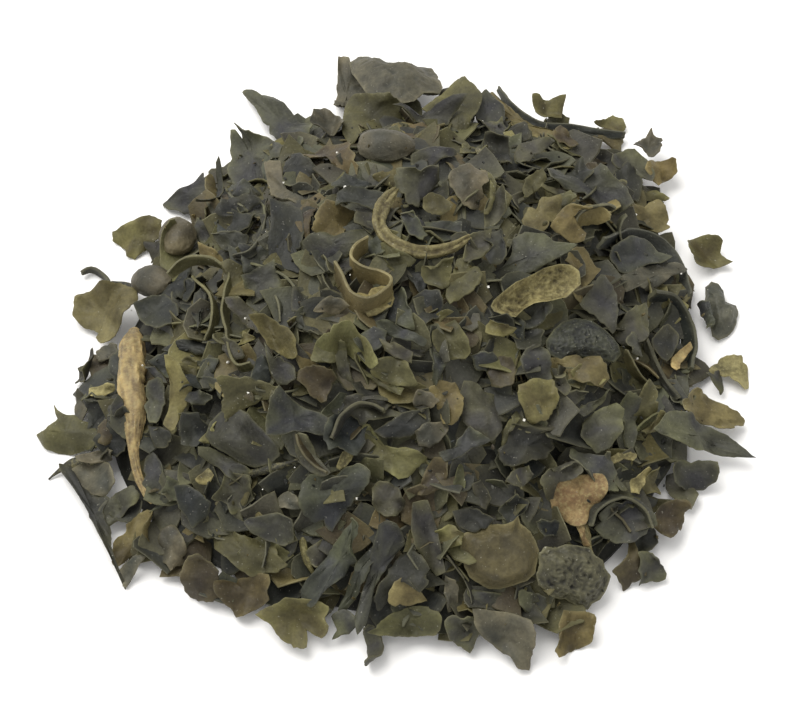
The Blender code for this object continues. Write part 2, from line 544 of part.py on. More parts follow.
def keep_largest_shell(target):
    """Drops loose scraps, fills hollows that the joining sealed, and merges faces that are nearly level."""
    body = bmesh.new()
    body.from_mesh(target.data)
    unseen = set(body.verts)
    shells = []
    while unseen:
        stack = [unseen.pop()]
        shell = set(stack)
        while stack:
            for edge in stack.pop().link_edges:
                for vert in edge.verts:
                    if vert in unseen:
                        unseen.remove(vert)
                        shell.add(vert)
                        stack.append(vert)
        shells.append(shell)
    shells.sort(key=len)
    for shell in shells[:-1]:
        bmesh.ops.delete(body, geom=list(shell), context="VERTS")
    bmesh.ops.dissolve_limit(body, angle_limit=FLAT_ENOUGH, verts=body.verts, edges=body.edges)
    bmesh.ops.triangulate(body, faces=body.faces)
    body.to_mesh(target.data)
    body.free()


def frond_material():
    made = bpy.data.materials.new("dried frond")
    made.use_nodes = True
    shader = made.node_tree.nodes["Principled BSDF"]
    shader.inputs["Base Color"].default_value = (0.085, 0.078, 0.052, 1.0)
    shader.inputs["Roughness"].default_value = 0.6
    shader.inputs["Metallic"].default_value = 0.0
    return made


def main():
    for old in list(bpy.data.objects):
        bpy.data.objects.remove(old)
    scene = bpy.context.scene.collection
    heap = mesh_object("seaweed_heap", *mound(), scene)
    heap.data.materials.append(frond_material())

    flakes = bpy.data.collections.new("Flakes")
    scene.children.link(flakes)
    pile = Pile()
    for number, piece in enumerate(loose_pieces() + PIECES):
        draw = random.Random(number)
        points, faces = SHAPES[piece.kind](piece, draw)
        points = settle(piece, pile, points)
        pile.add(filled_points(points, faces))
        mesh_object(f"flake_{number:03d}", points, faces, flakes)

    join = heap.modifiers.new("Join", "BOOLEAN")
    join.operation = "UNION"
    join.operand_type = "COLLECTION"
    join.collection = flakes
    join.solver = "MANIFOLD"
    with bpy.context.temp_override(object=heap, active_object=heap, selected_objects=[heap]):
        bpy.ops.object.modifier_apply(modifier="Join")
    for flake in list(flakes.objects):
        bpy.data.objects.remove(flake)
    bpy.data.collections.remove(flakes)
    keep_largest_shell(heap)


if __name__ == "__main__":
    main()
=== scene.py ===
"""Dried bladderwrack, as sold by weight: one loose heap of cut and broken seaweed fronds.

The packed solid is the rough form of the heap. Here each flake comes to rest by the same rules as in
that solid, and gets its own thickness, torn edge, curl and colour. Lengths are in millimetres until a mesh
is made. +Z is up, +Y is the back, and the origin is the middle of the flat underside.
"""

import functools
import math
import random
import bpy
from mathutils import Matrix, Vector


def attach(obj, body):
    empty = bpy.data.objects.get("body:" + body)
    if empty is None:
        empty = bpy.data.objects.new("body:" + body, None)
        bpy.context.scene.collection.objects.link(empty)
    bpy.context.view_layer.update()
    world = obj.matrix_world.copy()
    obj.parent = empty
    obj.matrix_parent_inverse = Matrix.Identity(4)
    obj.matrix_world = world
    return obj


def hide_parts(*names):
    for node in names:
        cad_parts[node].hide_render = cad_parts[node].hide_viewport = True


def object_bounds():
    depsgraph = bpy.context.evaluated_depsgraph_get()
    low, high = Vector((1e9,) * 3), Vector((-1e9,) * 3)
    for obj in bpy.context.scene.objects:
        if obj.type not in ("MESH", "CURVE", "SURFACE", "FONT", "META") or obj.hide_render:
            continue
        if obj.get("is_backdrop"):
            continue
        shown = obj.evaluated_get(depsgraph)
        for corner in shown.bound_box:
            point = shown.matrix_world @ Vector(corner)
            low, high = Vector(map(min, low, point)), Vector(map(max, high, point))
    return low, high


bl_info = {
    "name": "Dried Bladderwrack Heap",
    "version": (1, 0, 0),
    "blender": (4, 5, 0),
    "location": "3D View > Sidebar > Seaweed",
    "description": "Builds a heap of dried bladderwrack flakes round its packed solid",
    "category": "Add Mesh",
}

from collections import namedtuple

import bpy
import numpy as np
from bpy.props import FloatProperty, FloatVectorProperty, PointerProperty
from mathutils import Matrix, Vector, noise

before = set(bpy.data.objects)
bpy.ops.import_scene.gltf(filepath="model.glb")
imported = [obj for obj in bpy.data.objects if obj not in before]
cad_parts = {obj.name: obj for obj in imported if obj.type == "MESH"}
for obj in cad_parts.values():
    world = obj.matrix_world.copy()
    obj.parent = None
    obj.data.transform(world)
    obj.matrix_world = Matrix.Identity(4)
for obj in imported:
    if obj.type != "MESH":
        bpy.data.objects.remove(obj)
CAD_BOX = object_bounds()

MM = 0.001
BODY = "root"
NODE = "seaweed_heap"

# The mound under the flakes, as in the packed solid.
FOOT_RADIUS = 65.3
FOOT_LOBES = ((1, 0.07, -0.55), (2, 0.044, 2.0), (3, 0.034, -2.3), (4, 0.025, 2.05))  # order, share, phase
HEAP_RISE = 29.0
BANK_POWER = 1.75
LUMP_RISE = 1.6
LUMP_PITCH = 27.0
BASE_EDGE = 1.2

# How a flake of the packed solid is shaped and comes to rest.
SOLID_THICKNESS = 0.8
SINK_SHARE = 0.22
SINK_DEPTH = 0.6
TOUCH_SHARE = 0.3
TOUCH_HEIGHT = 0.3
SLIDE_STEP = 1.0
TABLE_GAP = 0.08
FACING = 0.25
CORNER_WANDER = 0.24
LOOSE_FLAKES = 128
LOOSE_SEED = 47
LOOSE_LENGTH = (7.0, 12.5)
LOOSE_REACH = 1.02
CLEAR_OF_LARGER = 0.42
LOOSE_STRIPS = 0.16  # the share that are ribbons
MAP_STEP = 1.0
MAP_HALF = 90.0

# The camera looks down on the heap from the front.
VIEW_TILT = math.radians(58.0)
VIEW_DISTANCE = 400.0
VIEW_POINT = np.array((1.5, -7.3, 10.0))
VIEW_LENS = 90.0  # on a 36 mm sensor

# The soft box, in metres, and the floor.
LAMP_SIZE = 0.8
LAMP_PLACE = (-0.35, 0.30, 0.85)
LAMP_COLOUR = (1.0, 0.985, 0.96)
FLOOR_RADIUS = 3.0

# The kinds of frond that loose flakes are made of, and how common each is among them.
LOOSE_KINDS = "sdgoybk"
LOOSE_TONES = (26, 20, 20, 16, 6, 9, 3)
UNDER_TONES = (26, 24, 20, 14, 4, 10, 2)
SMALL_TONES = (24, 26, 20, 16, 4, 9, 1)

# The flakes that fill the heap under the larger ones.
UNDER_SEED = 7
UNDER_COUNT = 2000
UNDER_LENGTH = (8.0, 13.5)
UNDER_TILT = 0.32
UNDER_SINK = (0.3, 0.4)
UNDER_OVER = 0.8  # how far above the mound of the packed solid they may reach
UNDER_OVER_RIM = 1.5  # and how much further where that mound ends
UNDER_FORMS = 18

# Each of their forms, against its length: thickness, how far the rim stands out, and the one ring inside it.
FORM_THICKNESS = 0.038
FORM_RIM = 0.012
FORM_RING = 0.62

# The small flakes that lie in the hollows between the larger ones.
SMALL_SEED = 19
SMALL_COUNT = 170
SMALL_LENGTH = (7.0, 12.5)
SMALL_CLEAR = 0.48
SMALL_SINK = (0.35, 0.4)
SMALL_THICKNESS = 0.9  # against a larger flake's
SMALL_RIBBONS = 0.14  # the share that are ribbons
SMALL_FIRST = 5000  # the number of the first one, which seeds its shape

# The core under them all.
CORE_RINGS = 56
CORE_SECTORS = 150
CORE_REACH = 0.90  # of the way to the foot of the heap

# Crumbs and salt.
CRUMB_SEED = 23
CRUMB_COUNT = 260
CRUMB_FORMS = 6
CRUMB_TONES = "gobksdk"
CRUMB_SPREAD = (0.5, 1.7)  # smallest and largest, against the middling one
GRAIN_COUNT = 40
GRAIN_FORMS = 4
GRAIN_SPREAD = (0.4, 1.2)
LARGE_GRAIN = (45.0, 22.6)  # where the one large grain is seen
LARGE_GRAIN_SIZE = (4.2, 3.4, 2.6)  # against the middling one

# The traced flakes.
TRACE_ORIGIN = np.array((400.0, 355.0))
TRACE_PER_MM = 5.0
TRACE_TILT = 0.16
TRACE_FACING = 0.4
TRACE_TABLE_REACH = 1.25  # flakes seen up to this far out from the heap's foot may lie on the table
TRACE_TABLE_BACK = 40.0  # but behind this they lean on the heap
TRACE_TOUCH = 2.0  # and touch it at least this far up
TRACE_SINK = (0.18, 0.15)
BODY_SINK = (0.12, 0.0)

# Shape of the real flakes.
STOP_PITCH = 0.7  # between points of a torn edge
RING_SHARES = (0.22, 0.42, 0.6, 0.76, 0.9, 1.0)  # where its rings of points lie, from hub to rim
ARC_SPREAD = (-0.05, 0.07)  # how the arcs of a torn edge differ
MOST_LIP = (120.0, 70.0, 5.0)  # degrees, of a made-up, a curled and a flat traced flake
CURLED_FROM = 12.0  # degrees
SMALL_PITCH = 0.95
SMALL_SHARES = (0.36, 0.7, 1.0)
SMALL_ARC_SPREAD = (-0.12, 0.12)
BODY_PITCH = 0.5
BODY_ROUGHNESS = 0.35
RIBBON_PITCH = 0.7
STALK_PITCH = 0.5
SHARP_ANGLE = math.radians(38.0)

# The colour of each kind of frond: at its middle, and at its thin tips and torn ends.
TONES = {
    "s": ("Slate frond", "#33332f", "#454534"),
    "d": ("Dark frond", "#272824", "#343429"),
    "g": ("Grey-green frond", "#3d3c34", "#504f39"),
    "o": ("Olive frond", "#413e28", "#565234"),
    "y": ("Yellow-green frond", "#4f4a2f", "#6c6841"),
    "b": ("Brown frond", "#3b3426", "#534a31"),
    "k": ("Ochre frond", "#544b2f", "#716743"),
    "c": ("Crusted ochre frond", "#5f583a", "#877d52"),
    "t": ("Tan midrib", "#706044", "#a18c5e"),
    "p": ("Bladder", "#444237", "#5e5846"),
    "w": ("Receptacle", "#3a392f", "#605e48"),
    "r": ("Rust-brown frond", "#6b563a", "#8a7650"),
    "e": ("Curled ribbon", "#655a3c", "#978759"),
    "f": ("Paler bladder", "#4b4433", "#6d634a"),
    "a": ("Split pod", "#554d33", "#958a5c"),
    "q": ("Hollow frond", "#3e3b2c", "#544f35"),
}
SHADE_VARIES = 0.11
WARMTH_VARIES = 0.035

# Patterns of the frond's surface, in millimetres. The last two are finer on real fronds, and are drawn as
# coarse as they need to be to show.
CLOUD_SIZE = 3.2  # patches that dried darker or paler
FLECK_SIZE = 0.9  # scales of the crust
GRAIN_SIZE = 0.55  # the shrunken skin
DUST_SIZE = 0.42  # specks of salt

FROND_IOR = 1.45
FROND_SPECULAR = 0.28  # dried skin is rough and gives back little light
SALT_IOR = 1.54
# Near-black, as dark as the darkest frond: painted shade that stands for the deep gaps between flakes.
CORE_SHADE_COLOUR = "#25251f"
# Pale edge colour: partly the torn frond's own paler edge, partly painted highlight where light catches the thin
# edge.
RIM_AND_HIGHLIGHT_COLOUR = "#7c7859"
CRUST_COLOURS = ("#a59c6d", "#4f4633")  # the crust, and the frond between it
DUST_COLOUR = "#b9b6a6"
SALT_COLOUR = "#e9e6dc"
FLOOR_COLOUR = "#faf9f7"

Body = namedtuple("Body", "top under shoulder margin dish lumps wrinkles pits pale")
Piece = namedtuple("Piece", "kind across up long wide aim corners bite curl roll lift lean tone")

# The larger pieces that are shaped as in the packed solid: kind, across, up, long, wide, aim, corners, bite,
# curl, roll, lift, lean and tone. aim is the way the long axis points as it is seen, anticlockwise from the
# right. curl is how far the piece bends over its length, roll turns the direction it bends in, lift raises
# the end it points to and lean tips it.
PIECES = """
strip -37.8 33.0 9.0 3.0 100 0 0.0 20 0 0 70 k
sheet -48.6 20.6 8.0 6.0 140 4 0.05 20 0 0 0 s
pod -44.4 23.8 9.8 7.6 100 0 0.8 0 0 0 0 f
rib -60.6 15.2 8.5 1.4 155 0 0.6 60 0 0 0 d
pod -49.8 14.8 10.8 6.8 -10 0 0.8 0 0 0 0 p
rib -69.4 -23.6 11.0 2.2 200 0 0.5 85 0 0 0 d
sheet -31.6 26.0 9.0 7.0 30 4 0.08 40 0 0 0 d
sheet -27.4 13.8 11.0 9.0 60 4 0.05 15 0 0 0 s
sheet -30.0 3.2 5.5 3.5 10 3 0.08 50 0 0 0 y
rib -25.4 -22.6 13.0 1.7 16 0 0.8 10 0 0 0 d
sheet -33.0 -27.0 10.0 8.0 40 5 0.08 30 0 0 0 g
rib -18.4 -41.0 9.0 1.6 -70 0 0.7 30 0 0 0 y
sheet 19.0 45.6 9.5 6.0 -20 4 0.08 20 0 0 0 g
rib 48.0 33.0 12.0 3.0 -20 0 0.6 -25 0 0 0 g
sheet -14.4 39.0 12.5 8.0 -20 4 0.18 80 0 0 0 o
pod -2.8 41.8 12.0 8.0 0 0 0.85 0 0 0 0 p
rib 17.6 38.3 10.5 2.0 -55 0 0.7 15 0 0 0 g
strip 35.6 27.6 14.0 4.5 20 0 0.0 120 0 0 60 k
strip 50.2 -13.2 8.0 3.0 20 0 0.0 50 0 0 50 y
sheet -7.0 -10.6 12.5 6.5 -10 4 0.05 -120 0 0 0 s
rib 37.2 -36.4 7.0 2.2 -75 0 0.6 20 0 0 0 k
sheet 51.8 -44.4 9.0 8.0 45 4 0.0 10 0 0 0 g
sheet 46.4 -42.4 11.0 7.2 85 4 0.05 20 90 0 0 b
sheet -7.0 -43.0 24.0 4.6 58 4 0.04 20 90 0 -15 s
""".strip().splitlines()
PIECES = [Piece(kind, *map(float, numbers), tone) for kind, *numbers, tone in map(str.split, PIECES)]


# Long curled ribbons: tone, width, thickness against a flake's, how far the upper edge is above the heap,
# how far it leans in degrees, how pale its edges are (partly painted highlight), and its path. In this table
# and the next ones, places are across and down from the view's corner, in fifths of a millimetre.
SCROLLS = """
o 3.0 1.2 1.6 0 0.9 167,273 179,260.5 197,255.5 217,260.5 228,274 224,291 221,310 226,330 229,352 236,364 250,362
o 2.6 1.2 1.6 0 1.0 192,276 204,287 211,302 210,324 204,340
d 1.6 1.2 1.0 0 0.6 233,255 250,249 261,233 268,205
g 1.4 1.2 0.9 0 0.9 250,263 272,269 290,281 297,293
g 1.4 1.2 0.9 0 0.9 269,286 278,302 279,322
e 6.2 1.3 3.6 -14 0.9 335,261 343,276 352,292 368,297 386,288 391,277 379,270 360,265 351,254 357,243 368,236
d 2.0 1.6 1.8 -20 0.6 499,88 510,102 525,115 543,124 570,126 600,131 625,134
s 4.2 1.5 1.8 -22 0.5 604,238 633,229 662,238 682,262 692,294
d 4.6 2.0 2.0 -15 0.6 656,291 677,297 690,317 697,343 692,368
d 1.4 2.6 1.0 0 0.5 647,338 654,356 664,376 680,398
s 1.6 1.6 0.6 0 0.4 82,276 90,271.5 100,275 108,283 112,291
s 1.0 1.6 0.8 0 0.7 215,224 221,212 231,204 245,201
s 1.0 1.6 0.8 0 0.7 226,188 235,200 247,209
s 3.4 1.3 2.4 0 0.7 331,438 336,425 344,412 356,404 370,403 384,409
d 3.4 1.3 2.6 10 0.7 591,526 597,513 608,503 622,498 636,502 647,512 653,528
g 2.6 1.3 1.6 0 0.9 576,226 579,214 590,207 607,204 616,208
b 3.0 1.2 1.4 0 0.7 296,434 300,448 311,463 326,473
""".strip().splitlines()

# The frond ends that dried thick, by the letter that follows their tone: how far they stand out above and
# below, from what share of the way out and how far from the rim they slope, how far the rim rises, and how
# strong their lumps, wrinkles, pits and pale rim (partly painted highlight) are.
BODIES = {
    "Q": Body(2.8, 1.0, 0.58, 0.0, 0.3, 0.40, 0.20, 0.05, 0.6),  # a puffed, hollow frond
    "F": Body(2.6, 1.4, 0.25, 0.0, 0.0, 0.60, 0.30, 0.12, 0.3),  # a folded frond
    "S": Body(1.8, 0.8, 0.35, 0.0, 0.0, 0.60, 0.20, 0.15, 0.3),  # a thick stub
    "W": Body(1.7, 1.0, 0.50, 0.0, 0.0, 0.45, 0.26, 0.66, 0.5),  # a receptacle, warty and wrinkled
    "A": Body(0.0, 0.9, 0.5, 0.0, 2.6, 0.50, 0.60, 0.30, 1.0),  # half of a split pod
    "D": Body(3.6, 0.8, 0.05, 0.0, 0.0, 0.45, 0.12, 0.04, 0.3),  # a domed frond
}

# Stalks and long pods: tone, height of the axis above the heap, depth of the groove along the top, and the
# path, with the half width at each place of it.
STALKS = """
t 1.4 0.0 134,330,5 133,344,12 132,365,13.5 132,385,13 134,405,12 134,425,9.5 133,445,6 135,462,4.5 139,478,4.2 146,494,3.5 152,503,1.5
k 1.3 0.5 396,189,3 388,198,6.5 381,210,7.5 379,222,7 385,236,6.5 402,247,6.5 428,252,6.5 452,247,5.5 470,237,3.5
""".strip().splitlines()

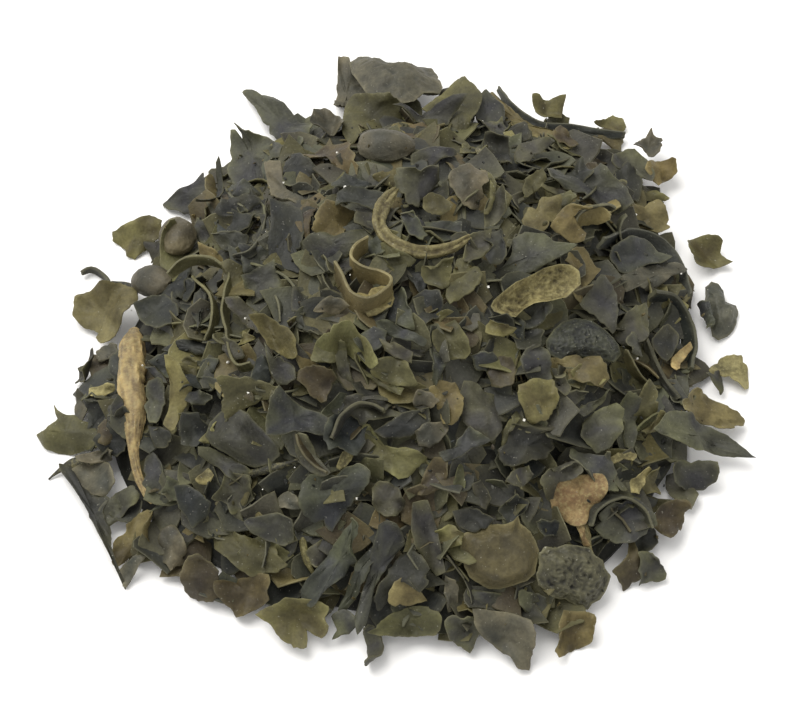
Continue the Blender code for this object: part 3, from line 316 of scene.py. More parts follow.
# The flakes that show, from the lowest to the highest: tone, how far the flake curls in degrees over its
# length, and its outline. A second letter marks a thick one, and "-" a place where no flake lies.
TRACED = """
- 0 556,525 566,552 590,560 608,552 612,535 600,524 590,530 572,526
- 0 666,200 722,200 722,238 690,238 668,226
d 20 87,400 96,396 106,398 108,411 103,427 98,441 92,451 84,450 88,432 90,415
d 15 99,441 105,428 112,420 118,430 126,440 128,452 118,456 104,452
p 15 74,470 85,462 102,462 118,466 126,476 130,486 118,492 108,498 96,496 84,488 76,480
p 25 80,457 95,452 110,449 123,452 110,460 95,464 84,462
y 20 592,124 604,121 612,116 620,122 625,131 621,134 606,130
s 10 222,185 230,178 245,182 258,190 250,196 238,200 228,196
d 10 216,215 224,203 240,200 258,198 262,205 250,212 236,218 222,220
d 10 60,466 72,470 84,492 96,502 112,505 104,520 112,535 114,556 119,572 127,588 124,589 112,565 100,540 88,515 74,492 62,476
s 20 150,362 158,355 168,352 173,362 178,377 172,382 165,378 158,370
s 30 146,363 156,367 164,376 168,384 158,381 150,373
o 15 180,360 190,354 199,360 197,373 201,386 190,379 183,370
s 15 200,362 207,358 218,358 222,364 217,372 210,375 200,372
s 20 197,377 210,377 222,380 233,381 236,387 230,398 221,399 214,393 204,390
b 25 232,373 240,378 250,387 256,399 253,403 244,398 237,390 233,382
s 20 187,400 191,392 201,390 211,393 215,399 205,404 195,405
d 15 180,424 183,413 195,413 208,414 213,424 206,437 195,447 181,444
s 35 110,426 112,405 118,394 122,400 125,416 130,430 134,437 125,439 117,433
b 20 97,442 99,426 107,419 113,432 110,446
d 20 251,380 255,362 262,356 268,360 271,376 272,385 261,384
s 20 265,342 272,357 281,358 291,362 296,371 296,381 288,386 277,383 271,374 267,352
g 25 336,345 346,344 348,360 352,378 361,388 351,391 342,388 339,375 336,360
g 30 342,404 352,400 366,397 382,394 388,399 372,400 356,404 345,412
s 30 432,352 440,352 447,361 441,374 435,388 432,380 431,365
s 15 519,361 525,348 535,344 546,350 550,365 552,382 545,385 535,381 528,379 522,371
g 15 553,372 563,369 567,380 571,389 562,398 556,391
s 20 562,396 574,389 588,391 580,402 568,416 560,428 556,418 558,406
g 25 568,414 580,407 594,401 604,397 612,391 602,404 586,415 572,421
s 20 162,205 175,197 190,190 196,175 200,172 204,185 210,187 206,200 203,212 195,216 190,221 180,213 168,212
s 20 204,213 212,204 220,190 225,175 231,170 227,188 216,206 209,215
s 20 233,135 238,135 241,143 247,133 250,121 252,129 258,130 264,138 270,140 279,144 287,150 283,162 268,165 266,178 260,196 248,190 236,188 228,172 231,158 229,150
s 10 247,102 252,100 275,100 284,104 291,110 300,121 314,126 306,147 290,150 279,144 268,130 258,114
p 20 312,135 316,122 325,112 333,117 340,120 346,134 334,138 318,139
p 10 338,72 349,71 352,76 370,96 366,102 345,108 340,118 333,115 337,95
b 40 303,151 322,140 348,141 354,158 357,170 350,179 339,178 334,164 326,157 312,158
o 20 345,107 352,103 370,99 386,97 392,96 399,104 401,114 405,116 404,125 400,131 380,128 362,133 350,142 342,130 343,118
d -40 286,153 300,153 308,160 319,170 310,178 300,185 290,187 284,176
d 30 330,184 345,173 360,178 372,183 366,189 345,191 336,191
p 20 264,162 282,162 284,180 287,192 300,198 310,205 305,213 295,208 283,200 272,196 267,180
d 25 337,195 350,190 375,188 392,195 385,210 378,215 350,206 336,210
y 10 529,103 535,101 541,105 562,107 561,120 550,121 538,118 532,112
p 25 450,172 463,163 470,162 487,172 488,182 481,188 484,195 481,205 472,210 460,207 455,200 452,190 447,180
y 20 490,180 495,190 494,203 488,216 483,218 484,208 489,198
o 30 422,200 432,195 440,194 453,205 447,213 442,217 428,218 424,208
s 30 396,171 414,168 438,168 440,180 431,190 428,198 421,200 418,212 404,208 398,190 393,180
s 60 411,157 425,148 440,147 453,150 456,156 450,161 430,166 412,167
d 30 483,140 490,136 506,142 512,152 512,166 502,170 493,160 486,150
g 20 515,152 520,142 540,141 556,140 545,150 530,160 518,160
o 20 526,178 532,175 541,172 546,182 538,190 528,199 520,202 522,190
g 20 540,187 560,188 577,193 575,196 555,195 538,191
s 40 548,182 545,172 560,165 568,170 578,178 590,172 600,168 612,180 624,194 632,212 615,214 600,206 580,193 562,188
b 20 578,174 588,161 597,158 599,168 592,176 584,179
p 25 630,149 640,142 647,136 650,131 653,138 662,142 666,150 660,157 650,160 645,156 636,152
k 20 650,161 669,159 675,164 676,176 668,180 660,183 655,188 648,180 643,170 645,163
g 25 611,157 625,150 634,151 646,161 653,173 655,187 647,184 638,177 625,172 616,170 609,165
y 25 636,191 655,192 669,200 664,203 655,201 641,201
k 30 626,205 640,206 655,203 662,215 669,231 655,234 640,226 630,221
k 15 522,220 529,206 541,200 561,198 562,207 557,216 549,226 542,232 525,233
k 30 547,231 549,226 556,217 563,206 573,202 585,198 586,203 575,212 572,222 576,228 585,236 583,242 568,240
g 15 513,238 525,232 545,232 552,240 577,243 566,256 545,266 530,273 510,281 488,281 482,278 492,272 503,267 512,255
d 35 482,242 492,232 505,232 511,240 510,255 500,266 488,267 482,259 492,250
y 0 113,233 132,226 150,217 164,225 160,240 145,251 135,260 127,258 126,250 120,246 113,242
k 15 77,300 92,294 108,290 125,288 140,292 143,306 134,320 120,332 114,344 106,349 99,341 102,336 93,330 85,329 76,320 76,308
p 10 97,352 106,346 118,346 120,356 108,360 100,363
d 25 136,306 150,300 165,295 178,305 182,320 175,330 160,335 148,328 139,318
d 20 160,349 170,345 190,340 212,342 223,346 224,351 212,354 190,355 170,353
d 40 215,232 225,230 240,232 252,240 246,250 231,256 222,250 215,240
o 40 222,263 232,260 240,266 243,280 244,296 238,304 230,300 226,285
g 20 224,299 240,301 255,311 270,321 273,335 262,336 250,330 240,320 228,310
g 20 221,338 230,336 241,346 245,356 237,364 226,357
d 25 270,200 290,205 302,212 304,235 301,250 300,274 285,268 270,262 268,245 272,225
s 20 300,242 310,235 325,232 334,236 350,228 371,224 372,238 356,245 345,256 330,260 321,272 301,276 298,258
o 15 252,312 265,316 275,322 290,332 297,345 298,364 290,360 280,352 268,346 262,336 255,325
o 25 314,345 325,338 341,334 346,345 347,358 330,363 311,361
g 20 350,346 360,336 372,328 385,335 384,348 370,354 355,355
s 50 375,321 388,320 400,328 413,333 428,342 424,350 410,345 395,338 380,332
g 20 379,339 395,345 413,352 410,362 395,358 385,351
d 30 412,298 425,290 440,292 446,305 440,318 425,328 412,318 407,308
y 30 424,318 435,315 448,310 454,312 441,320 436,327 424,328
o 25 420,266 432,258 450,256 451,272 446,290 440,293 428,285 421,275
o 30 380,240 395,250 416,262 410,268 392,269 384,258
g 30 400,206 412,208 418,222 427,235 422,243 410,240 401,226
s 15 422,223 440,221 461,222 461,238 446,242 425,242
p 30 311,313 320,303 328,297 345,300 351,308 335,313
o 15 457,258 464,257 475,265 483,276 480,286 470,292 460,300 450,306 446,300 446,290 452,275
o 20 433,332 441,327 455,320 462,330 469,342 471,355 465,360 452,359 437,353 433,342
s 20 471,356 480,350 492,352 499,360 493,370 476,371
k 25 562,262 572,252 582,250 588,256 592,262 600,270 592,280 586,286 582,304 577,303 568,296 573,290 579,285 576,270 568,264
p 25 622,276 640,268 660,264 676,262 691,268 684,273 670,276 660,285 650,290 640,286 628,291
s 20 609,250 625,240 645,238 655,250 669,261 655,267 640,269 628,277 615,275 608,262
g 15 618,338 620,325 628,312 640,304 648,301 651,320 648,336 640,343 626,345
d 25 651,340 660,328 668,325 675,335 677,345 672,355 665,363 655,356 650,348
t 30 669,368 672,358 680,350 688,344 691,350 683,360 677,370 671,374
y 5 685,243 695,240 705,238 714,240 719,246 718,255 724,262 730,267 715,270 705,272 692,270 688,262 683,254
c 30 713,364 724,358 741,356 743,363 749,369 749,388 743,393 736,387 726,381 714,377 709,371
k 25 677,402 685,393 693,387 700,390 710,398 720,405 733,415 738,425 736,429 726,430 725,434 712,430 700,424 688,420 679,412
g 15 660,412 670,410 690,412 700,424 716,432 725,438 735,448 744,460 728,458 712,455 700,452 690,450 680,445 668,440 655,434 646,430 655,420
s 20 668,466 680,460 695,460 709,459 710,470 709,480 703,489 690,490 677,489 669,481
b 25 655,510 665,500 675,497 683,500 686,505 681,512 682,522 677,532 665,541 657,536 652,525
y 40 638,431 648,428 655,420 660,410 665,412 664,424 656,431 645,434
g 20 622,392 630,395 639,400 638,420 635,440 631,450 624,450 625,430 619,410
c 40 608,459 615,454 630,452 638,456 636,462 625,461 612,464
c 30 628,479 636,475 646,467 651,470 642,482 636,494 630,492
s 30 604,447 609,450 611,465 621,480 629,489 620,491 610,480 604,465
g 20 577,439 580,426 590,416 600,409 611,404 618,410 617,430 612,442 606,450 595,455 587,448
y 15 517,386 530,381 552,380 558,390 561,398 555,408 548,419 540,422 532,425 525,418 520,408 515,398
o 30 500,450 502,436 508,425 514,418 521,418 514,427 508,437 505,449
d 25 508,436 515,424 526,424 541,429 553,432 557,447 545,459 530,461 514,466 507,468 498,460 498,450
g 25 535,481 545,466 555,452 565,448 576,455 581,470 570,479 556,482 551,489 552,502 545,500 540,492
k 20 428,388 440,383 455,384 462,395 464,408 460,418 452,424 443,422 438,412 436,401 430,394
g 15 463,381 478,383 485,392 497,394 510,390 517,393 516,405 511,415 504,425 498,435 492,442 482,435 472,428 465,420 461,405 460,391
b 25 425,472 434,457 450,459 451,475 440,488 428,495 417,495
p 25 412,431 425,422 445,422 449,428 440,440 430,449 419,446
g 30 453,449 463,434 470,425 478,430 491,440 485,444 471,449 462,456 445,463 438,452
d 20 472,485 480,480 486,488 491,498 486,509 478,505 474,495
d 25 457,521 465,508 480,510 496,518 488,526 475,531 461,527
g 25 504,481 510,472 520,468 530,466 533,475 522,487 511,486
y 25 434,529 445,524 455,524 463,532 461,545 450,548 440,541
o 20 458,459 464,470 466,485 460,494 450,490 455,478
s 15 262,440 264,420 269,400 278,387 286,396 300,406 320,414 331,422 333,432 325,438 310,434 295,433 280,438
g 60 294,433 300,431 309,431 311,441 316,455 325,465 333,474 321,477 308,470 300,460 296,448
s 15 303,480 310,474 325,476 336,475 345,468 360,463 371,469 370,480 362,491 352,502 343,515 338,522 333,531 325,528 315,522 306,512 302,500
y 25 363,424 370,424 373,435 381,445 395,448 405,447 418,450 427,457 424,462 416,468 408,477 398,478 392,475 380,466 368,458 362,447
d 30 373,431 385,424 395,418 402,412 415,410 429,406 431,420 420,430 410,436 395,438 382,437
c 40 337,463 342,452 350,450 354,455 348,463 341,470 336,469
g 25 372,492 380,481 390,482 400,490 409,500 401,512 385,516 375,508 369,500
s 15 247,521 262,512 276,511 296,511 298,525 295,540 285,546 270,541 255,533
p 25 271,506 280,495 290,490 299,498 300,509 286,510
s 20 199,447 210,447 225,455 240,462 251,470 251,491 240,483 225,473 210,463 200,456
sD 0 205,436 210,422 222,410 235,407 248,413 258,425 269,436 279,446 280,456 270,464 255,468 240,463 225,453 212,446
y 20 199,441 208,430 219,420 218,432 211,445
c 10 196,479 208,468 215,475 208,485 200,484
d 25 149,426 160,428 172,432 179,445 165,448 155,447
d 30 174,485 185,485 200,491 214,500 209,515 195,525 180,506
g 15 148,388 155,384 166,383 168,395 164,415 158,424 150,426 146,410
y 15 165,355 173,356 180,363 186,374 192,388 188,398 186,406 182,411 178,429 173,431 165,424 168,410 170,395 170,378 166,366
o 15 36,436 50,432 58,423 60,416 52,409 66,417 73,417 81,422 98,426 104,438 96,448 70,454 60,454 45,450
p 30 77,392 80,389 86,400 89,411 86,421 80,424 75,410
c 25 88,395 90,388 100,386 110,383 118,385 112,392 104,396 95,397
k 15 112,556 117,540 125,528 135,515 150,510 159,512 163,522 160,535 150,545 140,550 130,558 122,566 118,570 113,562
p 15 120,570 135,557 150,548 146,560 138,570 132,580 128,588 124,586
p 15 159,530 170,526 180,530 187,540 188,552 184,566 178,568 172,571 168,563 160,561 157,548
g 5 97,530 101,512 108,500 120,494 137,487 144,497 141,506 130,510 118,521 110,528
b 20 186,565 192,555 203,555 212,565 219,575 218,590 219,600 214,605 200,604 191,602 186,598 184,586
b 15 218,580 232,580 245,578 260,573 272,573 277,582 272,590 271,600 262,607 252,612 245,616 236,617 231,608 225,602 219,592
y 20 256,612 265,607 280,598 290,594 302,596 320,598 330,605 331,619 332,628 325,635 315,640 310,644 298,642 285,634 275,625 266,618
g 20 331,616 340,608 352,611 360,620 352,632 340,636 333,639 339,628
o 20 212,530 225,525 240,535 255,540 270,542 276,555 286,565 276,572 260,572 250,576 242,571 230,560 215,549
g 15 380,516 376,535 366,548 361,560 350,565 346,575 335,582 325,590 319,600 313,605 304,598 302,588 310,575 325,560 335,545 347,528 362,516
s 15 382,522 394,515 405,520 404,545 395,555 385,570 376,585 372,600 370,620 363,628 357,615 362,595 368,575 373,550
s 15 412,502 428,500 433,515 437,530 441,553 445,572 436,576 425,560 415,546 410,528
o 15 361,632 375,625 390,615 405,608 420,605 434,610 443,616 439,630 435,635 412,637 395,636 375,635
d 40 374,600 378,585 390,570 400,556 412,550 423,555 431,565 433,580 424,592 410,578 395,584 390,600 380,612
k 15 389,592 395,580 405,574 412,580 420,590 428,600 410,605 395,607 389,603
p 20 444,575 455,579 459,590 457,608 448,612 445,600
g 20 443,614 455,611 470,610 476,620 480,632 474,640 469,652 458,645 450,638 444,625
g 20 469,590 485,592 504,594 506,606 500,613 485,610 471,606
p 15 472,607 485,609 510,613 530,618 534,630 532,645 530,660 529,670 517,668 510,656 500,650 490,642 480,635 474,621
g 25 517,590 530,594 545,597 549,610 545,625 538,618 528,614 519,605
k 30 549,652 556,640 556,625 560,611 575,612 600,615 605,619 602,631 590,645 575,650 562,656 553,658
pS 0 705,289 711,283 718,285 723,292 725,303 736,307 738,313 736,325 733,332 727,338 718,342 712,338 709,322 705,303
k 20 546,358 562,357 580,354 598,358 606,366 608,380 600,388 585,384 570,380 552,372
sW 0 545,342 553,330 562,322 575,318 590,320 600,326 610,334 619,345 621,355 614,363 600,360 580,357 560,360 548,354
b 10 490,360 500,356 512,358 516,370 514,385 505,391 492,388 488,375
s 20 508,320 520,312 535,305 551,304 555,312 545,322 530,330 515,328
y 30 490,319 496,322 505,325 515,329 508,336 495,339 484,333 487,326
aA 0 490,301 500,292 512,283 526,277 540,269 555,265 567,266 575,272 577,285 571,290 563,298 545,302 530,304 520,310 512,318 500,316 491,312 487,307
wW 0 538,552 545,546 555,548 565,544 575,545 590,548 596,556 603,560 605,568 611,576 608,586 605,592 600,600 592,604 588,610 578,608 572,603 562,600 552,597 545,590 538,585 536,575 539,565
qQ 0 461,535 466,532 480,531 486,523 495,524 505,524 513,521 518,515 520,523 530,531 535,540 539,550 537,562 535,573 528,580 515,585 500,589 488,589 478,583 469,577 464,566 460,550
o -25 422,113 440,101 450,89 462,78 467,87 474,92 482,101 479,113 468,130 461,142 452,136 436,124
pF 0 349,63 358,57 368,57 380,62 400,65 420,66 432,69 438,76 443,88 440,94 432,93 424,93 414,101 402,104 392,98 380,98 368,96 360,84 352,74
c 10 353,296 365,291 378,287 391,283 393,300 389,310 378,316 368,318 360,308
b 10 297,378 300,371 307,367 318,366 325,370 333,371 337,378 331,386 327,400 322,403 314,397 304,390
y 45 363,369 371,374 380,382 392,387 406,389 401,396 388,391 376,383 367,376
o 10 371,372 376,362 388,357 398,357 409,364 413,375 416,384 408,386 395,386 382,381 375,377
p 30 414,396 418,389 430,392 439,402 434,408 422,405 413,406
g 30 272,388 280,386 276,395 271,404 268,401
y 15 570,372 578,365 590,363 602,366 606,380 599,386 585,383 575,380
s 15 584,298 590,286 598,278 605,280 612,288 617,300 618,315 616,328 612,336 604,328 595,318 586,312 580,304
k 10 486,97 493,94 500,102 510,109 524,121 540,129 555,132 552,139 536,140 520,136 508,126 496,113 488,105
b 15 540,129 562,131 590,133 608,131 624,133 622,149 604,143 584,140 560,138 552,138
b 20 551,138 556,128 560,127 568,135 578,148 574,151 564,145 556,145
s 25 603,505 612,499 626,497 640,501 650,512 653,524 645,522 640,532 628,540 612,543 600,536 592,528 596,514
r 5 575,520 584,526 587,538 590,546 584,547 579,536
r 5 551,488 560,482 575,477 590,474 600,474 604,480 605,490 600,500 592,507 587,516 583,524 572,526 561,518 553,510 550,498
""".strip().splitlines()


def linear(code):
    """Linear colour of an sRGB hex code."""
    parts = (int(code[i:i + 2], 16) / 255.0 for i in (1, 3, 5))
    return tuple(p / 12.92 if p <= 0.04045 else ((p + 0.055) / 1.055) ** 2.4 for p in parts)


def smooth(low, high, value):
    share = np.clip((value - low) / (high - low), 0.0, 1.0)
    return share * share * (3.0 - 2.0 * share)


# --- The heap and how flakes lie on it, as in the packed solid ---


def foot_radius(angle):
    """Distance from the heap's middle to the foot of its bank."""
    lobes = sum(share * np.cos(order * angle - phase) for order, share, phase in FOOT_LOBES)
    return FOOT_RADIUS * (1.0 + lobes)


def bed(x, y):
    """Height of the mound that the flakes lie on."""
    share = np.hypot(x, y) / foot_radius(np.arctan2(y, x))
    rise = HEAP_RISE * (1.0 - np.minimum(share, 1.0) ** BANK_POWER)
    lumps = np.sin(x / LUMP_PITCH * 6.1 + 1.0) * np.sin(y / LUMP_PITCH * 5.3 - 0.6)
    inside = np.clip((1.0 - share) * 6.0, 0.0, 1.0)
    return np.where(share < 1.0, rise + BASE_EDGE + LUMP_RISE * lumps * inside, 0.0)


def unit(vector):
    return vector / np.linalg.norm(vector)


def unit_rows(vectors):
    return vectors / np.maximum(np.linalg.norm(vectors, axis=1), 1e-9)[:, None]


def ring_angles(count):
    """Angles of this many points spread evenly round a ring."""
    return np.arange(count) * 2.0 * math.pi / count


def spot_on_heap(draw, reach):
    """A place drawn evenly from the heap's ground plan, out to this share of the way to its foot."""
    angle = draw.uniform(0.0, 2.0 * math.pi)
    radius = reach * foot_radius(angle) * math.sqrt(draw.random())
    return radius * math.cos(angle), radius * math.sin(angle)


TO_EYE = np.array((0.0, -math.cos(VIEW_TILT), math.sin(VIEW_TILT)))
SEEN_RIGHT = np.array((1.0, 0.0, 0.0))
SEEN_UP = np.cross(TO_EYE, SEEN_RIGHT)
EYE = VIEW_POINT + TO_EYE * VIEW_DISTANCE


def on_sight_line(across, up, height):
    """The point at this height that is seen at this place."""
    aim = VIEW_POINT + SEEN_RIGHT * across + SEEN_UP * up - EYE
    return EYE + aim * (height - EYE[2]) / aim[2]


def seen_from_front(point):
    """Across and up of a point, as it is seen."""
    away = point - EYE
    away = away * VIEW_DISTANCE / -np.dot(away, TO_EYE) - (VIEW_POINT - EYE)
    return np.dot(away, SEEN_RIGHT), np.dot(away, SEEN_UP)


class Pile:
    """The height of the heap so far, on a square grid, so that each piece comes to rest on the last."""

    def __init__(self, lowered=0.0):
        ticks = np.arange(-MAP_HALF, MAP_HALF + MAP_STEP, MAP_STEP)
        self.x, self.y = np.meshgrid(ticks, ticks, indexing="ij")
        self.top = np.maximum(bed(self.x, self.y) - lowered, 0.0)

    def cells(self, x, y):
        last = len(self.top) - 1
        i = np.clip(np.rint((x + MAP_HALF) / MAP_STEP).astype(int), 0, last)
        j = np.clip(np.rint((y + MAP_HALF) / MAP_STEP).astype(int), 0, last)
        return i, j

    def height(self, x, y):
        return self.top[self.cells(x, y)]

    def normal(self, x, y, radius):
        """Upward normal of the plane that fits the heap best within this radius."""
        near = np.hypot(self.x - x, self.y - y) < radius
        flat = np.c_[self.x[near], self.y[near], np.ones(near.sum())]
        slope = np.linalg.lstsq(flat, self.top[near], rcond=None)[0]
        return unit(np.array((-slope[0], -slope[1], 1.0)))

    def rest_height(self, points, sink_share=SINK_SHARE, sink_depth=SINK_DEPTH):
        """How high the piece's own origin lies once the piece rests on the heap and clear of the table."""
        gaps = self.height(points[:, 0], points[:, 1]) - points[:, 2]
        resting = np.quantile(gaps, 1.0 - sink_share) - sink_depth
        return max(resting, TABLE_GAP - points[:, 2].min())

    def add(self, points):
        i, j = self.cells(points[:, 0], points[:, 1])
        np.maximum.at(self.top, (i, j), points[:, 2])

    def seen_at(self, across, up):
        """Where the heap is met by the line of sight at this place."""
        for height in np.arange(HEAP_RISE * 1.6, 0.0, -0.5):
            point = on_sight_line(across, up, height)
            if self.height(point[0], point[1]) >= height:
                return point
        return on_sight_line(across, up, 0.0)


def bend(along, across, curl, roll):
    """Points and normals of a flat sheet bent by curl radians over each millimetre in the roll direction."""
    c, s = math.cos(roll), math.sin(roll)
    p = along * c + across * s
    q = across * c - along * s
    angle = curl * p
    safe = curl if abs(curl) > 1e-6 else 1e-6
    x = np.sin(safe * p) / safe
    z = (1.0 - np.cos(safe * p)) / safe
    points = np.stack((x * c - q * s, x * s + q * c, z), axis=-1)
    normals = np.stack((-np.sin(angle) * c, -np.sin(angle) * s, np.cos(angle)), axis=-1)
    return points, normals


def outline(piece, draw, fine=0, spread=ARC_SPREAD):
    """Corners of a torn flake, joined by arcs that bite inwards, or bulge where bite is negative."""
    count = int(piece.corners)
    turn = 2.0 * math.pi / count
    tips = []
    for i in range(count):
        angle = (i + (draw.uniform(-CORNER_WANDER, CORNER_WANDER) if i else 0.0)) * turn
        reach = draw.uniform(0.85, 1.0)
        tips.append(np.array((math.cos(angle), math.sin(angle))) * reach)
    points = []
    for i, tip in enumerate(tips):
        step = tips[(i + 1) % count] - tip
        inward = np.array((-step[1], step[0]))
        arc = piece.bite + draw.uniform(*spread)
        stops = fine or (2 if abs(arc) > 0.08 else 1)
        for stop in range(stops):
            t = stop / stops
            points.append(tip + step * t + inward * arc * 4.0 * t * (1.0 - t))
    points = np.array(points)
    low, high = points.min(axis=0), points.max(axis=0)
    return (points - (low + high) / 2.0) / (high - low) * (piece.long, piece.wide)


def sheet_span(piece):
    return piece.long if abs(math.cos(math.radians(piece.roll))) > 0.7 else piece.wide


def solid_sheet(piece, draw):
    rim = outline(piece, draw)
    flat = np.vstack((rim, rim.mean(axis=0)))
    curl = math.radians(piece.curl) / sheet_span(piece)
    middle, normals = bend(flat[:, 0], flat[:, 1], curl, math.radians(piece.roll))
    half = normals * SOLID_THICKNESS / 2.0
    count = len(rim)
    hub, under = count, count + 1
    faces = []
    for i in range(count):
        j = (i + 1) % count
        faces += [(i, j, hub), (under + j, under + i, under + hub)]
        faces += [(under + i, under + j, j), (under + i, j, i)]
    return np.vstack((middle + half, middle - half)), faces


def strip_widths(piece, draw):
    """Where the half width of a ribbon is known along its length, and that half width."""
    count = 6 if piece.long > 12.0 else 4
    share = np.linspace(-1.0, 1.0, count + 1)
    half_width = piece.wide / 2.0 * (1.0 - 0.55 * np.abs(share) ** 3)
    return share, half_width * np.array([draw.uniform(0.85, 1.1) for _ in share])


def tube_faces(rings, sides):
    """Triangles of a closed tube whose rings of points follow each other."""
    faces = []
    for ring in range(rings - 1):
        for side in range(sides):
            a, b = ring * sides + side, ring * sides + (side + 1) % sides
            faces.append((a, a + sides, b + sides))
            faces.append((a, b + sides, b))
    last = (rings - 1) * sides
    for side in range(1, sides - 1):
        faces.append((0, side, side + 1))
        faces.append((last, last + side + 1, last + side))
    return faces


def solid_strip(piece, draw):
    share, half_width = strip_widths(piece, draw)
    rails = []
    for side in (1.0, -1.0):
        middle, normals = bend(share * piece.long / 2.0, side * half_width,
                               math.radians(piece.curl) / piece.long, 0.0)
        for face in (1.0, -1.0):
            rails.append(middle + normals * face * SOLID_THICKNESS / 2.0)
    ring = np.stack((rails[0], rails[1], rails[3], rails[2]), axis=1)
    return ring.reshape(-1, 3), tube_faces(len(share), 4)


def rib_radius(piece, share):
    """A midrib is broad for its first half and tapers to a point."""
    return piece.wide / 2.0 * np.where(share < 0.5, 0.72 + 0.56 * share, 1.0 - 1.3 * (share - 0.5))


def rib_line(piece, share):
    """Points and normals along a midrib's middle."""
    return bend((share - 0.5) * piece.long, np.zeros(len(share)), math.radians(piece.curl) / piece.long, 0.0)


def laid_down(points):
    """Turns a curve that was made standing, so that it bends across the heap and not out of it."""
    points = np.stack((points[:, 0], points[:, 2], -points[:, 1]), axis=-1)
    return points - (points.max(axis=0) + points.min(axis=0)) / 2.0


def solid_rib(piece, draw):
    sides, rings = 5, 8
    share = np.linspace(0.0, 1.0, rings)
    centre, normals = rib_line(piece, share)
    radius = rib_radius(piece, share)
    points = []
    for ring in range(rings):
        for side in range(sides):
            angle = 2.0 * math.pi * side / sides + draw.uniform(-0.1, 0.1)
            out = normals[ring] * math.cos(angle) * radius[ring]
            points.append(centre[ring] + out + (0.0, math.sin(angle) * radius[ring] * piece.bite, 0.0))
    return laid_down(np.array(points)), tube_faces(rings, sides)


def solid_pod(piece, draw, sides=8, rings=5):
    points = []
    for ring in range(rings):
        angle = math.pi * (ring + 0.55) / (rings + 0.1)
        for side in range(sides):
            around = 2.0 * math.pi * side / sides
            swell = 0.5 * (1.0 + draw.uniform(-0.03, 0.03))
            points.append((
                -math.cos(angle) * piece.long * swell,
                math.sin(angle) * math.cos(around) * piece.wide * swell,
                math.sin(angle) * math.sin(around) * piece.wide * piece.bite * swell,
            ))
    return np.array(points), tube_faces(rings, sides)


SOLIDS = {"sheet": solid_sheet, "strip": solid_strip, "rib": solid_rib, "pod": solid_pod}


def filled_points(points, faces):
    """The corners and the points spread between them, close enough for the height map."""
    corners = points[np.array(faces)]
    spread = [points]
    for a, b, c in ((0.34, 0.33, 0.33), (0.5, 0.5, 0.0), (0.0, 0.5, 0.5), (0.5, 0.0, 0.5),
                    (0.7, 0.15, 0.15), (0.15, 0.7, 0.15), (0.15, 0.15, 0.7)):
        spread.append(corners[:, 0] * a + corners[:, 1] * b + corners[:, 2] * c)
    return np.vstack(spread)


def turn_about(vector, axis, angle):
    """The vector turned about a unit axis."""
    c, s = math.cos(angle), math.sin(angle)
    return vector * c + np.cross(axis, vector) * s + axis * np.dot(axis, vector) * (1.0 - c)


def axes_of(piece, normal):
    """The piece's long, cross and upward axes on a surface with this normal."""
    aim = math.radians(piece.aim)
    seen = SEEN_RIGHT * math.cos(aim) + SEEN_UP * math.sin(aim)
    long = unit(seen - TO_EYE * np.dot(seen, normal) / np.dot(TO_EYE, normal))
    cross = np.cross(normal, long)
    lift, lean = math.radians(piece.lift), math.radians(piece.lean)
    long = turn_about(long, cross, -lift)
    up = np.cross(long, cross)
    return np.array((long, turn_about(cross, long, lean), turn_about(up, long, lean)))


def rest_at(piece, pile, points, across, up):
    """The piece's axes and place where it comes to rest, seen at this place."""
    place = pile.seen_at(across, up)
    for _ in range(3):
        slope = pile.normal(place[0], place[1], max(4.0, piece.long * 0.5))
        axes = axes_of(piece, unit(slope * (1.0 - FACING) + TO_EYE * FACING))
        height = pile.rest_height(points @ axes + (place[0], place[1], 0.0))
        place = on_sight_line(across, up, height)
    return axes, place


def settle(piece, pile, points):
    """The piece at rest, slid in towards the heap's middle until enough of it lies on the heap."""
    seen = np.array((piece.across, piece.up))
    middle = np.array(seen_from_front(np.zeros(3)))
    while True:
        axes, place = rest_at(piece, pile, points, *seen)
        placed = points @ axes + place
        if np.mean(pile.height(placed[:, 0], placed[:, 1]) > TOUCH_HEIGHT) >= TOUCH_SHARE:
            return axes, place
        seen = seen + unit(middle - seen) * SLIDE_STEP


def inside(shape, across, up):
    """Whether this place is inside the outline."""
    ends = np.roll(shape, -1, axis=0)
    passes = (shape[:, 1] > up) != (ends[:, 1] > up)
    step = ends - shape
    at = shape[:, 0] + step[:, 0] * (up - shape[:, 1]) / np.where(passes, step[:, 1], 1.0)
    return bool(np.count_nonzero(passes & (at > across)) % 2)


@functools.cache
def cleared_shapes():
    """The outlines in which no loose flake lies: all the traced ones, and round a thick one a little more."""
    shapes = []
    for text in TRACED:
        tone, _, shape = row_of(text, 1)
        middle = shape.mean(axis=0)
        shapes.append(middle + (shape - middle) * (1.3 if len(tone) > 1 else 1.0))
    return shapes


